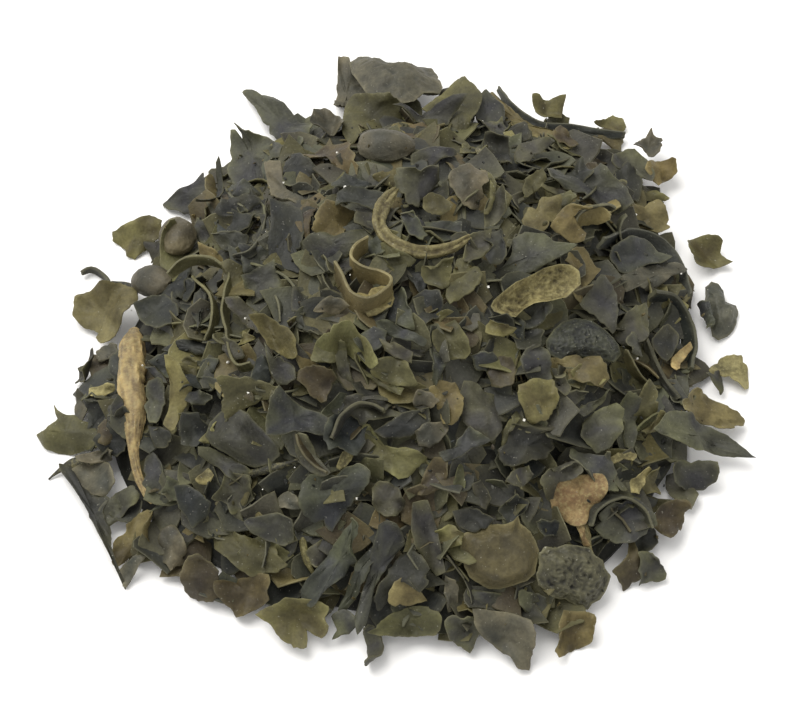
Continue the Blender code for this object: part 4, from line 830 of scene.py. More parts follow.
def loose_pieces():
    """Loose flakes spread evenly over the heap, less those that a larger piece would hide."""
    draw = random.Random(LOOSE_SEED)
    pieces = []
    for i in range(LOOSE_FLAKES):
        angle = i * math.pi * (3.0 - math.sqrt(5.0))
        radius = LOOSE_REACH * foot_radius(angle) * math.sqrt((i + 0.5) / LOOSE_FLAKES)
        x = radius * math.cos(angle) + draw.uniform(-2.0, 2.0)
        y = radius * math.sin(angle) + draw.uniform(-2.0, 2.0)
        long = draw.uniform(*LOOSE_LENGTH)
        across, up = seen_from_front(np.array((x, y, bed(x, y))))
        kind = "strip" if draw.random() < LOOSE_STRIPS else "sheet"
        piece = Piece(
            kind, across, up, long * (1.3 if kind == "strip" else 1.0),
            long * (0.45 if kind == "strip" else draw.uniform(0.55, 0.85)), draw.uniform(0, 360),
            draw.choice((3, 4, 4, 5)), draw.uniform(-0.10, 0.10), draw.uniform(-60, 110),
            draw.choice((0, 90)), draw.uniform(-10, 35), draw.uniform(-28, 28), "",
        )
        if kind == "strip":
            piece = piece._replace(lean=draw.uniform(30, 80), curl=draw.uniform(40, 190))
        hidden = any(
            math.hypot(across - big.across, up - big.up) < CLEAR_OF_LARGER * math.sqrt(big.long * big.wide)
            for big in PIECES
        ) or any(inside(shape, across, up) for shape in cleared_shapes())
        if not hidden:
            pieces.append(piece)
    return pieces


@functools.cache
def settled_pieces():
    """Every larger piece that isn't traced, with its number, axes and place, and the pile that they make."""
    pile = Pile()
    settled = []
    for number, piece in enumerate(loose_pieces() + PIECES):
        points, faces = SOLIDS[piece.kind](piece, random.Random(number))
        axes, place = settle(piece, pile, points)
        pile.add(filled_points(points @ axes + place, faces))
        if not piece.tone:
            piece = piece._replace(tone=random.Random(f"tone {number}").choices(LOOSE_KINDS, LOOSE_TONES)[0])
        settled.append((piece, number, axes, place))
    return settled, pile


def settled_kind(kind):
    """The settled pieces of one kind: piece, number, axes and place of each."""
    return [settled for settled in settled_pieces()[0] if settled[0].kind == kind]


def row_of(text, count):
    """A row of a traced table: its tone, this many numbers, and its places across and up in millimetres."""
    tone, *rest = text.split()
    stops = np.array([stop.split(",") for stop in rest[count:]], dtype=float)
    stops[:, :2] = (stops[:, :2] - TRACE_ORIGIN) * (1.0, -1.0)
    return tone, *map(float, rest[:count]), stops / TRACE_PER_MM


def seen_on_plane(shape, axes, place):
    """Where sight lines through these seen places meet a flake's plane, along its long and cross axes."""
    aim = VIEW_POINT - EYE + np.outer(shape[:, 0], SEEN_RIGHT) + np.outer(shape[:, 1], SEEN_UP)
    reach = np.dot(place - EYE, axes[2]) / (aim @ axes[2])
    return (EYE + aim * reach[:, None] - place) @ axes[:2].T


def anchor_of(pile, across, up):
    """Where a traced flake lies: where its own sight line ends, or the nearest one that meets the heap."""
    seen = np.array((across, up))
    middle = np.array(seen_from_front(np.zeros(3)))
    place = pile.seen_at(*seen)
    reach = math.hypot(place[0], place[1]) / foot_radius(math.atan2(place[1], place[0]))
    if place[2] > TOUCH_HEIGHT or reach < TRACE_TABLE_REACH and place[1] < TRACE_TABLE_BACK:
        return place
    while place[2] < TRACE_TOUCH:
        seen = seen + unit(middle - seen) * SLIDE_STEP
        place = pile.seen_at(*seen)
    return place


@functools.cache
def traced_flakes():
    """Every traced flake with its text, axes, place and outline, laid on the pile in order."""
    pile = settled_pieces()[1]
    laid = []
    for text in TRACED:
        extra = random.Random(f"trace {text}")
        tone, curl, shape = row_of(text, 1)
        if tone == "-":
            continue
        across, up = seen = (shape.min(axis=0) + shape.max(axis=0)) / 2.0
        place = anchor_of(pile, *seen)
        tilt = np.array([extra.gauss(0.0, TRACE_TILT) for _ in range(3)])
        slope = pile.normal(place[0], place[1], 6.0) + tilt
        long = float(np.ptp(shape, axis=0).max())
        piece = Piece("sheet", across, up, long, long, 0, 4, 0, curl, extra.choice((0, 90)), 0, 0, tone)
        axes = axes_of(piece, unit(unit(slope) * (1.0 - TRACE_FACING) + TO_EYE * TRACE_FACING))
        body = BODIES.get(tone[1:])
        spread = np.vstack([seen + (shape - seen) * share for share in (0.0, 0.5, 1.0)])
        anchored = np.hypot(*(seen_from_front(place) - seen)) > 0.3
        ray = unit(on_sight_line(across, up, 0.0) - EYE)
        place = EYE + ray * np.dot(place - EYE, axes[2]) / np.dot(ray, axes[2])
        for _ in range(0 if anchored else 2):
            flat = seen_on_plane(spread, axes, place)
            sink = BODY_SINK if body else TRACE_SINK
            height = pile.rest_height(flat @ axes[:2] + (place[0], place[1], 0.0), *sink)
            place = on_sight_line(across, up, height)
        rim = seen_on_plane(shape, axes, place)
        for share in np.linspace(0.0, 1.0, 8):
            pile.add(rim * share @ axes[:2] + place + axes[2] * SOLID_THICKNESS / 2.0)
        laid.append((text, piece._replace(tone=tone[0]), axes, place, rim, body))
    return laid


# --- The true shapes ---


def graded(tones, grade):
    """Colours between the two tones: the first where the grade is 0 and the second where it is 1."""
    return tones[0] + (tones[1] - tones[0]) * grade[:, None]


def new_mesh(name, points, faces=()):
    """A mesh from points in millimetres."""
    mesh = bpy.data.meshes.new(name)
    mesh.from_pydata((points * MM).tolist(), [], faces)
    return mesh


def set_points(mesh, name, kind, values):
    """Keeps these values at the mesh's points, for the materials and the scatter tree to read."""
    key = {"FLOAT": "value", "FLOAT_VECTOR": "vector", "FLOAT_COLOR": "color"}[kind]
    if kind == "FLOAT_COLOR":
        values = np.column_stack((values, np.ones(len(values))))
    mesh.attributes.new(name, kind, "POINT").data.foreach_set(key, values.ravel())


class Skin:
    """Gathers closed shapes into one mesh, with a colour and an edge share at every point."""

    def __init__(self):
        self.points, self.faces, self.tones, self.edges, self.count = [], [], [], [], 0

    def add(self, points, faces, tones, edges):
        self.faces += [[corner + self.count for corner in face] for face in faces]
        self.points.append(points + (0.0, 0.0, max(0.0, -points[:, 2].min())))
        self.tones.append(np.broadcast_to(tones, points.shape))
        self.edges.append(np.broadcast_to(edges, len(points)))
        self.count += len(points)

    def piece(self, name, material, slot):
        mesh = new_mesh(name, np.vstack(self.points), self.faces)
        set_points(mesh, "tone", "FLOAT_COLOR", np.vstack(self.tones))
        set_points(mesh, "edge", "FLOAT", np.concatenate(self.edges))
        mesh.materials.append(material)
        return finished(name, mesh)


def finished(name, mesh):
    """Puts a finished mesh in the scene as a piece of the heap."""
    mesh.shade_smooth()
    mesh.set_sharp_from_angle(angle=SHARP_ANGLE)
    made = bpy.data.objects.new(name, mesh)
    bpy.context.scene.collection.objects.link(made)
    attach(made, BODY)
    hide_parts(NODE)
    return made


def varied_tone(tone, extra):
    """The middle and tip colours of one flake: no two flakes dried quite alike."""
    colours = bpy.context.scene.seaweed_colours
    shade = math.exp(extra.gauss(0.0, SHADE_VARIES))
    warmth = extra.gauss(0.0, WARMTH_VARIES)
    tint = shade * np.array((1.0 + warmth, 1.0, 1.0 - warmth))
    return [np.array(getattr(colours, f"{part}_{tone}")) * tint for part in ("middle", "tip")]


@functools.cache
def sheet_faces(count, rings):
    """Faces of a flake with this many points round its rim and rings of them from the hub out."""
    faces = []
    under = rings * count + 1
    edge = 2 * under
    outer = (rings - 1) * count
    for i in range(count):
        j = (i + 1) % count
        faces += [(i, j, rings * count), (under + j, under + i, under + rings * count)]
        for a in range(0, outer, count):
            b = a + count
            quad = (b + i, b + j, a + j, a + i)
            faces += [quad, tuple(under + corner for corner in reversed(quad))]
        faces += [(edge + i, edge + j, outer + j, outer + i)]
        faces += [(under + outer + i, under + outer + j, edge + j, edge + i)]
    return faces


def grain_of(points, extra, *sizes):
    """Noise from about -1 to 1 at each point, at each of these sizes, from a place of its own."""
    start = Vector([extra.uniform(-90.0, 90.0) for _ in range(3)])
    places = [Vector(tuple(point) + (0.0,) * (3 - len(point))) for point in points.tolist()]
    return [np.array([noise.noise(place / size + start) for place in places]) for size in sizes]


def torn_rim(piece, draw, extra, pitch, spread):
    """The flake's outline with the small unevenness of a torn edge, and how many points each edge has."""
    size = math.sqrt(piece.long * piece.wide)
    stops = int(np.clip(size * 3.1 / piece.corners / pitch, 3, 18))
    rim = outline(piece, draw, stops, spread)
    return roughened(rim, extra, size, 0.06, 0.7), stops, size


def traced_rim(corners, extra, pitch, rough=1.0):
    """Points this far apart round the corners, with this share of the small unevenness of a torn edge."""
    turn = corners[:, 0] @ np.roll(corners[:, 1], -1) - corners[:, 1] @ np.roll(corners[:, 0], -1)
    corners = corners if turn > 0 else corners[::-1]
    rim = []
    for corner, after in zip(corners, np.roll(corners, -1, axis=0)):
        count = max(1, round(math.dist(corner, after) / pitch))
        rim += [corner + (after - corner) * stop / count for stop in range(count)]
    rim = np.array(rim)
    size = math.sqrt(abs(turn) / 2.0) * 1.15
    return rim + (roughened(rim, extra, size, 0.0, 0.35) - rim) * rough, 1 + len(rim) // 4, size


def roughened(rim, extra, size, broad_share, bluntest):
    """The outline, blunted and torn a little, and now and then nicked."""
    hub = rim.mean(axis=0)
    blunt = extra.uniform(0.1, bluntest)
    rim = rim * (1.0 - blunt) + (np.roll(rim, 1, axis=0) + np.roll(rim, -1, axis=0)) * blunt / 2.0
    out = unit_rows(rim - hub)
    broad, ragged = grain_of(rim, extra, 2.8, 0.9)
    rim = rim + out * (broad * broad_share * size + ragged * extra.uniform(0.15, 0.55))[:, None]
    if extra.random() < 0.4:
        for _ in range(extra.choice((1, 1, 2, 3))):
            at = extra.randrange(len(rim))
            depth = size * extra.uniform(0.05, 0.13)
            for near, share in ((-1, 0.45), (0, 1.0), (1, 0.45)):
                rim[(at + near) % len(rim)] -= out[(at + near) % len(rim)] * depth * share
    return rim


def curled(flat, roll, curl, lip, span):
    """Points and normals of a flake bent evenly over its span, with a lip rolled up at one end."""
    c, s = math.cos(roll), math.sin(roll)
    p, q = flat[:, 0] * c + flat[:, 1] * s, flat[:, 1] * c - flat[:, 0] * s
    steps = np.linspace(-0.7, 0.7, 71) * span
    angle = curl * steps + lip * smooth(0.12 * span, 0.5 * span, steps)
    x, z = (np.cumsum(run) * (steps[1] - steps[0]) for run in (np.cos(angle), np.sin(angle)))
    x, z, angle = (np.interp(p, steps, run) for run in (x - x[35], z - z[35], angle))
    points = np.stack((x * c - q * s, x * s + q * c, z), axis=-1)
    return points, np.stack((-np.sin(angle) * c, -np.sin(angle) * s, np.cos(angle)), axis=-1)


def relief(flat, share, around, tips, size, extra):
    """How far the flake's surface stands out of its even curl: ruffles, curled corners, folds and creases."""
    k = math.sqrt(size / 9.0)
    rise = 0.0
    for least, most, power, waves in ((0.1, 0.6, 2, (2, 3, 3, 4)), (0.05, 0.3, 3, (5, 6, 7))):
        rise += extra.uniform(least, most) * k * share ** power * np.sin(
            extra.choice(waves) * around + extra.uniform(0, 6.3))
    for tip in tips:
        near = np.exp(-np.sum((flat - tip) ** 2, axis=1) / (0.34 * size) ** 2)
        rise += extra.uniform(-1.1, 2.0) * k * near
    broad, crease, fine = grain_of(flat, extra, 4.6, 2.1, 1.2)
    rise += extra.uniform(0.5, 1.5) * k * broad
    rise += extra.uniform(0.35, 1.0) * k * (0.35 - np.abs(crease)) + extra.uniform(0.06, 0.22) * fine
    if extra.random() < 0.5:
        turn = extra.uniform(0.0, 6.3)
        away = flat[:, 0] * math.cos(turn) + flat[:, 1] * math.sin(turn) - extra.uniform(-0.2, 0.2) * size
        rise += extra.uniform(-0.65, 0.65) * (np.sqrt(away ** 2 + 0.3 * k) - 0.6)
    return rise


def flake_tones(piece, flat, share, tips, size, extra):
    """Colour of each point of a flake: it turns from the middle colour to the tip colour over its length."""
    tones = varied_tone(piece.tone, extra)
    turn = extra.uniform(0.0, 6.3)
    run = (flat[:, 0] * math.cos(turn) + flat[:, 1] * math.sin(turn)) / (size * 0.5)
    grade = extra.uniform(0.2, 1.0) * smooth(-0.4, 0.9, run)
    # Paler at the corners and towards the rim: partly the frond's own colour, partly painted light shining through
    # the thin edges.
    for corner in tips:
        near = np.exp(-np.sum((flat - corner) ** 2, axis=1) / (0.22 * size) ** 2)
        grade = np.maximum(grade, near * extra.uniform(-0.2, 1.1))
    clouds, spots = grain_of(flat, extra, 3.4, 1.3)
    grade = grade + 0.6 * clouds + 0.35 * spots + extra.uniform(0.0, 0.5) * smooth(0.8, 1.0, share)
    return graded(tones, np.clip(grade, -0.25, 1.3))


def add_sheet(skin, piece, number, axes, place, thickness, pitch=STOP_PITCH, shares=RING_SHARES,
              spread=ARC_SPREAD, corners=None):
    """A torn, curled flake of frond, with its outline traced by these corners or else made up."""
    extra = random.Random(f"sheet {number}")
    if corners is None:
        rim, stops, size = torn_rim(piece, random.Random(number), extra, pitch, spread)
    else:
        rim, stops, size = traced_rim(corners, extra, pitch)
    hub = rim.mean(axis=0)
    count, rings = len(rim), len(shares)
    tips = rim[::stops]
    flat = np.vstack([hub + (rim - hub) * share for share in shares] + [hub])
    share = np.append(np.repeat(shares, count), 0.0)
    around = np.append(np.tile(ring_angles(count), rings), 0.0)
    rise = relief(flat, share, around, tips, size, extra)
    roll = math.radians(piece.roll)
    span = sheet_span(piece)
    most = MOST_LIP[0 if corners is None else 1 if abs(piece.curl) > CURLED_FROM else 2]
    lip = math.radians(extra.uniform(0.3, 1.0) * most) if extra.random() < 0.5 else 0.0
    middle, normals = curled(flat, roll, math.radians(piece.curl) / span, lip, span)
    side = flat[:, 1] * math.cos(roll) - flat[:, 0] * math.sin(roll)
    rise += math.radians(extra.uniform(-40.0, 60.0)) / size / 2.0 * side ** 2
    middle = middle + normals * rise[:, None]
    half = normals * thickness / 2.0
    outer = slice((rings - 1) * count, rings * count)
    inner = slice((rings - 2) * count, (rings - 1) * count)
    out = unit_rows(middle[outer] - middle[inner])
    half[outer] *= 0.7
    points = np.vstack((middle + half, middle - half, middle[outer] + out * thickness * 0.25))
    tones = flake_tones(piece, flat, share, tips, size, extra)
    # The pale rim: partly the torn edge's own colour, partly painted highlight along the thin edge.
    pale = np.clip(grain_of(rim, extra, 3.0)[0] * 1.2 + extra.uniform(0.15, 1.2), 0.15, 1.0)
    edges = np.append(np.zeros(outer.start), np.append(pale * 0.3, 0.0))
    # The underside is drawn 6% darker than the top: painted shade on the face turned down.
    skin.add(
        points @ axes + place, sheet_faces(count, rings),
        np.vstack((tones, tones * 0.94, tones[outer])), np.concatenate((edges, edges, pale * 0.8)),
    )


def loop_faces(rings, sides):
    """Quads of a closed tube with a many-sided face at each end."""
    faces = []
    for ring in range(rings - 1):
        for side in range(sides):
            a, b = ring * sides + side, ring * sides + (side + 1) % sides
            faces.append((a, a + sides, b + sides, b))
    last = (rings - 1) * sides
    faces.append(tuple(range(sides)))
    faces.append(tuple(last + side for side in reversed(range(sides))))
    return faces


def add_band(skin, rows, normals, thickness, tones, pale):
    """A closed band from rows of middle points, listed from one edge of the band to the other."""
    tops = [row + normal * thickness / 2.0 for row, normal in zip(rows, normals)]
    unders = [row - normal * thickness / 2.0 for row, normal in zip(rows, normals)]
    left = rows[0] + unit_rows(rows[0] - rows[1]) * thickness * 0.3
    right = rows[-1] + unit_rows(rows[-1] - rows[-2]) * thickness * 0.3
    ring = np.stack([left] + unders + [right] + tops[::-1], axis=1)
    rings, sides = ring.shape[:2]
    # The pale edges: partly the ribbon's own torn edge, partly painted highlight along it.
    edges = np.zeros((rings, sides))
    edges[:, [0, len(rows) + 1]] = pale
    edges[:, [1, len(rows), len(rows) + 2, sides - 1]] = pale * 0.4
    edges[[0, -1]] = pale
    skin.add(ring.reshape(-1, 3), loop_faces(rings, sides), np.repeat(tones, sides, axis=0), edges.ravel())


def band_tones(tone, share, extra):
    """Colour along a ribbon, from its darker to its paler end, with clouds."""
    tones = varied_tone(tone, extra)
    clouds, = grain_of(share[:, None] * 9.0, extra, 2.4)
    grade = extra.uniform(0.2, 0.9) * smooth(-1.0, 1.0, share * extra.choice((-1.0, 1.0))) + 0.5 * clouds
    return graded(tones, np.clip(grade, -0.25, 1.2))


def add_strip(skin, piece, number, axes, place, thickness, rings=30):
    """A ribbon of frond on edge, curled along its length, with waved edges and torn ends."""
    extra = random.Random(f"strip {number}")
    known, half_width = strip_widths(piece, random.Random(number))
    share = np.linspace(-1.0, 1.0, rings)
    uneven, = grain_of(share[:, None] * piece.long, extra, 3.0)
    width = np.interp(share, known, half_width) * (1.0 + 0.16 * uneven)
    width *= 1.0 - 0.45 * smooth(0.8, 1.0, np.abs(share))
    curl = math.radians(piece.curl) / piece.long
    twist = math.radians(extra.uniform(-45.0, 45.0))
    rows, turned = [], []
    for v in (1.0, 0.5, 0.0, -0.5, -1.0):
        middle, normals = bend(share * piece.long / 2.0, v * width, curl, 0.0)
        wave, = grain_of(np.column_stack((share * piece.long / 2.0, np.full(rings, v * 2.0))), extra, 3.4)
        rise = v * width * np.sin(twist * share) + 0.22 * (0.4 + abs(v)) * wave
        rows.append((middle + normals * rise[:, None]) @ axes + place)
        turned.append(normals @ axes)
    add_band(skin, rows, turned, thickness, band_tones(piece.tone, share, extra), extra.uniform(0.3, 1.0))


def through(points, count):
    """Points of a smooth curve through these."""
    points = np.array(points, dtype=float)
    ends = np.vstack((2.0 * points[0] - points[1], points, 2.0 * points[-1] - points[-2]))
    curve = []
    for at in np.linspace(0.0, len(points) - 1.001, count):
        t = at - int(at)
        a, b, c, d = ends[int(at):int(at) + 4]
        square, cube = 2.0 * a - 5.0 * b + 4.0 * c - d, 3.0 * b - 3.0 * c + d - a
        curve.append(b + ((c - a) + (square + cube * t) * t) * t / 2.0)
    return np.array(curve)


def resting_line(seen, pile, rise):
    """Points this far above the heap along a seen path. They follow its broad form and not its flakes."""
    met = np.array([pile.seen_at(*spot)[2] for spot in seen])
    share = np.linspace(-1.0, 1.0, len(seen))
    heights = np.polyval(np.polyfit(share, np.maximum(met, np.median(met) - 2.5), 3), share) + rise
    return np.array([on_sight_line(*spot, height) for spot, height in zip(seen, heights)])


def add_scroll(skin, text, number, pile, thickness):
    """A long curled ribbon whose upper edge is seen along the path."""
    extra = random.Random(f"scroll {number}")
    tone, broad, thick, rise, lean, pale, path = row_of(text, 5)
    length = sum(math.dist(a, b) for a, b in zip(path, path[1:]))
    rings = int(length / RIBBON_PITCH)
    line = resting_line(through(path, rings), pile, rise)
    share = np.linspace(-1.0, 1.0, rings)
    normal = pile.normal(*line[rings // 2, :2], length / 3.0)
    tangent = unit_rows(np.gradient(line, axis=0))
    stand = np.broadcast_to(turn_about(normal, SEEN_RIGHT, math.radians(lean)), line.shape)
    facing = unit_rows(np.cross(tangent, stand))
    width = broad * (1.0 - 0.4 * np.abs(share) ** 4) * (1.0 + 0.2 * grain_of(line, extra, 4.0)[0])
    rows = []
    for down in (0.0, 0.25, 0.5, 0.75, 1.0):
        row = line - stand * (width * down)[:, None]
        wave, = grain_of(row, extra, 2.6)
        rows.append(row + facing * (wave * 0.3)[:, None])
        pile.add(row)
    add_band(skin, rows, [facing] * 5, thickness * thick, band_tones(tone, share, extra), pale)


def stalk_grain(along, angle, extra, pit_size):
    """Streaks, ridges and pits round a stalk. The first two run along it."""
    drawn_out = np.column_stack((along * 0.16, np.cos(angle) * 1.6, np.sin(angle) * 1.6))
    streak, ridge = grain_of(drawn_out, extra, 1.0, 0.45)
    pits, = grain_of(np.column_stack((along, np.cos(angle) * 2.0, np.sin(angle) * 2.0)), extra, pit_size)
    return streak, ridge, pits


def add_rib(skin, piece, number, axes, place, rings=44, sides=24):
    """A midrib or stalk: ridged and streaked along its length, with a thin bent tail."""
    extra = random.Random(f"rib {number}")
    share = np.linspace(0.0, 1.0, rings)
    centre, normals = rib_line(piece, share)
    radius = rib_radius(piece, share) * (1.0 + 0.12 * grain_of(share[:, None] * piece.long, extra, 4.0)[0])
    radius *= smooth(-0.06, 0.10, share) * (1.0 - 0.5 * smooth(0.5, 1.0, share))
    centre += normals * (extra.uniform(-0.1, 0.1) * piece.long * smooth(0.55, 1.2, share) ** 2)[:, None]
    angle = np.tile(ring_angles(sides), rings)
    along = np.repeat(share * piece.long, sides)
    streak, ridge, pits = stalk_grain(along, angle, extra, 1.3)
    reach = np.repeat(radius, sides) * (1.0 + 0.16 * streak + 0.12 * ridge + 0.07 * pits)
    out = np.repeat(normals, sides, axis=0) * (np.cos(angle) * reach)[:, None]
    points = np.repeat(centre, sides, axis=0) + out
    points[:, 1] += np.sin(angle) * reach * piece.bite
    tones = varied_tone(piece.tone, extra)
    grade = np.clip(0.45 + 0.9 * ridge + 0.5 * streak + 0.5 * pits, -0.7, 1.2)
    skin.add(laid_down(points) @ axes + place, loop_faces(rings, sides), graded(tones, grade), 0.0)


def add_stalk(skin, text, number, pile, sides=28):
    """A stalk or a long pod along the path where it is seen: streaked along its length and pitted."""
    extra = random.Random(f"stalk {number}")
    tone, rise, groove, path = row_of(text, 2)
    rings = int(np.hypot(*np.diff(path[:, :2], axis=0).T).sum() / STALK_PITCH)
    seen = through(path, rings)
    line = resting_line(seen[:, :2], pile, rise)
    tangent = unit_rows(np.gradient(line, axis=0))
    upward = unit_rows(TO_EYE - tangent * (tangent @ TO_EYE)[:, None])
    side = np.cross(tangent, upward)
    far = np.repeat(np.append(0.0, np.cumsum(np.linalg.norm(np.diff(line, axis=0), axis=1))), sides)
    angle = np.tile(ring_angles(sides), rings)
    streak, ridge, pits = stalk_grain(far, angle, extra, 1.1)
    hollow = groove * np.exp(-((angle - math.pi / 2.0 + 0.3 * streak) / 0.45) ** 2)
    reach = np.repeat(seen[:, 2], sides) * (1.0 + 0.16 * streak + 0.12 * ridge + 0.10 * pits - hollow)
    out = side.repeat(sides, axis=0) * np.cos(angle)[:, None]
    out = out + upward.repeat(sides, axis=0) * np.sin(angle)[:, None] * 0.75
    tones = varied_tone(tone, extra)
    # Darker in the groove along the top: painted shade in the hollow.
    grade = np.clip(0.4 + 0.9 * ridge + 0.5 * streak + 0.6 * pits - 1.2 * hollow, -0.7, 1.2)
    points = line.repeat(sides, axis=0) + out * reach[:, None]
    skin.add(points, loop_faces(rings, sides), graded(tones, grade), 0.0)


def egg_grid(rings, sides, ends):
    """Unit directions over an egg, from one end to the other, and the angle from the end of each."""
    angle = np.repeat(np.linspace(ends, math.pi - ends, rings), sides)
    around = np.tile(ring_angles(sides), rings)
    way = np.stack((-np.cos(angle), np.sin(angle) * np.cos(around), np.sin(angle) * np.sin(around)), axis=-1)
    return way, angle, around


def add_pod(skin, piece, number, axes, place, rings=30, sides=36):
    """An air bladder: a swollen egg of frond with a seam along each side and a torn neck at each end."""
    extra = random.Random(f"pod {number}")
    way, angle, around = egg_grid(rings, sides, 0.12)
    points = way * (piece.long / 2.0, piece.wide / 2.0, piece.wide * piece.bite / 2.0)
    dent = 0.0
    for _ in range(5):
        depth, waves = extra.uniform(0.02, 0.07), np.array([extra.uniform(-4.5, 4.5) for _ in range(3)])
        dent += depth * np.sin(way @ waves + extra.uniform(0, 6.3))
    seam = 0.09 * np.exp(-((np.sin(around)) / 0.14) ** 2) * np.sin(angle)
    start = Vector([extra.uniform(-50.0, 50.0) for _ in range(3)])
    drawn_out = (points * (0.35, 1.1, 1.1)).tolist()
    wrinkle = np.array([abs(noise.noise(Vector(place) + start)) - 0.2 for place in drawn_out])
    points = points * (1.0 + dent * 0.45 + seam * 0.6 - wrinkle * 0.07)[:, None]
    tones = varied_tone(piece.tone, extra)
    clouds, spots = grain_of(points, extra, 3.2, 1.2)
    grade = smooth(0.3, 1.0, np.abs(way[:, 0])) * extra.uniform(0.2, 0.8) + 0.5 * clouds + 0.2 * spots
    # The seam takes the pale edge colour: partly its own colour, partly painted highlight along its ridge.
    skin.add(points @ axes + place, loop_faces(rings, sides), graded(tones, grade), seam * 2.0)


def add_body(skin, body, number, axes, place, corners, tone, rings=40):
    """A frond end that dried thick: its outline filled by a dome or a dish, with lumps and wrinkles."""
    extra = random.Random(f"body {number}")
    rim = traced_rim(corners, extra, BODY_PITCH, BODY_ROUGHNESS)[0]
    hub, sides = rim.mean(axis=0), len(rim)
    half = np.sin(np.linspace(0.01, 1.0, rings) * math.pi / 2.0)
    share = np.concatenate((half, half[-2::-1]))
    upper = np.repeat(np.arange(2 * rings - 1) < rings, sides)
    k = np.repeat(share, sides)
    flat = hub + (np.tile(rim, (2 * rings - 1, 1)) - hub) * k[:, None]
    dome = 1.0 - smooth(body.shoulder, 1.0 - body.margin, k)
    level = body.dish * k ** 3 + np.where(upper, body.top * dome, -body.under * (1.0 - k ** 6))
    level += np.where(upper, 0.2, -0.2) * (1.0 - k ** 40)
    lump, wrinkle, fine, speck = grain_of(np.column_stack((flat, level)), extra, 4.0, 1.9, 0.9, 0.55)
    wrinkle, fine = 0.35 - np.abs(wrinkle), 0.3 - np.abs(fine)
    rise = body.lumps * lump + body.wrinkles * wrinkle * 1.6 + body.pits * fine + 0.3 * body.pits * speck
    level += rise * (1.0 - 0.6 * k ** 8)
    tones = varied_tone(tone, extra)
    folds = wrinkle * min(1.0, 2.5 * body.wrinkles) + fine * min(1.0, 3.0 * body.pits)
    # Paler towards the rim, and the pale rim itself: partly the frond's own colour, partly painted light and
    # highlight at the thin edge.
    grade = 0.25 + 0.45 * lump + 0.9 * folds + 0.5 * smooth(0.85, 1.0, k)
    pale = body.pale * np.maximum(smooth(0.93, 1.0, k), smooth(0.45, 0.7, speck) * body.pits)
    skin.add(np.column_stack((flat, level)) @ axes + place, loop_faces(2 * rings - 1, sides),
             graded(tones, np.clip(grade, -0.4, 1.3)), np.clip(pale, 0.0, 1.0))


# --- Materials ---


def node(tree, kind, inputs=None, **settings):
    """Adds a node with its settings. Each input is a value, or another node's output to link."""
    made = tree.nodes.new(kind)
    for name, value in settings.items():
        setattr(made, name, value)
    for key, value in (inputs or {}).items():
        if isinstance(value, bpy.types.NodeSocket):
            tree.links.new(value, made.inputs[key])
        else:
            made.inputs[key].default_value = value
    return made


def per_mm(size):
    """Noise scale that gives features of this size in millimetres."""
    return 1.0 / (size * MM)


def noised(tree, spot, size, detail, roughness=0.5):
    return node(tree, "ShaderNodeTexNoise", {
        "Vector": spot, "Scale": per_mm(size), "Detail": detail, "Roughness": roughness,
    }).outputs["Fac"]


def ranged(tree, value, low, high, to_low, to_high):
    return node(tree, "ShaderNodeMapRange", {
        "Value": value, "From Min": low, "From Max": high, "To Min": to_low, "To Max": to_high,
    }).outputs["Result"]


def blended(tree, factor, first, second):
    return node(tree, "ShaderNodeMix", {0: factor, 6: first, 7: second}, data_type="RGBA").outputs[2]


def attribute(tree, name, output="Fac"):
    return node(tree, "ShaderNodeAttribute", attribute_name=name).outputs[output]


def plain_material(name, colour, roughness):
    """A material of one colour, and its shader."""
    material = bpy.data.materials.new(name)
    material.use_nodes = True
    shader = material.node_tree.nodes["Principled BSDF"]
    shader.inputs["Base Color"].default_value = (*colour, 1.0)
    shader.inputs["Roughness"].default_value = roughness
    return material, shader


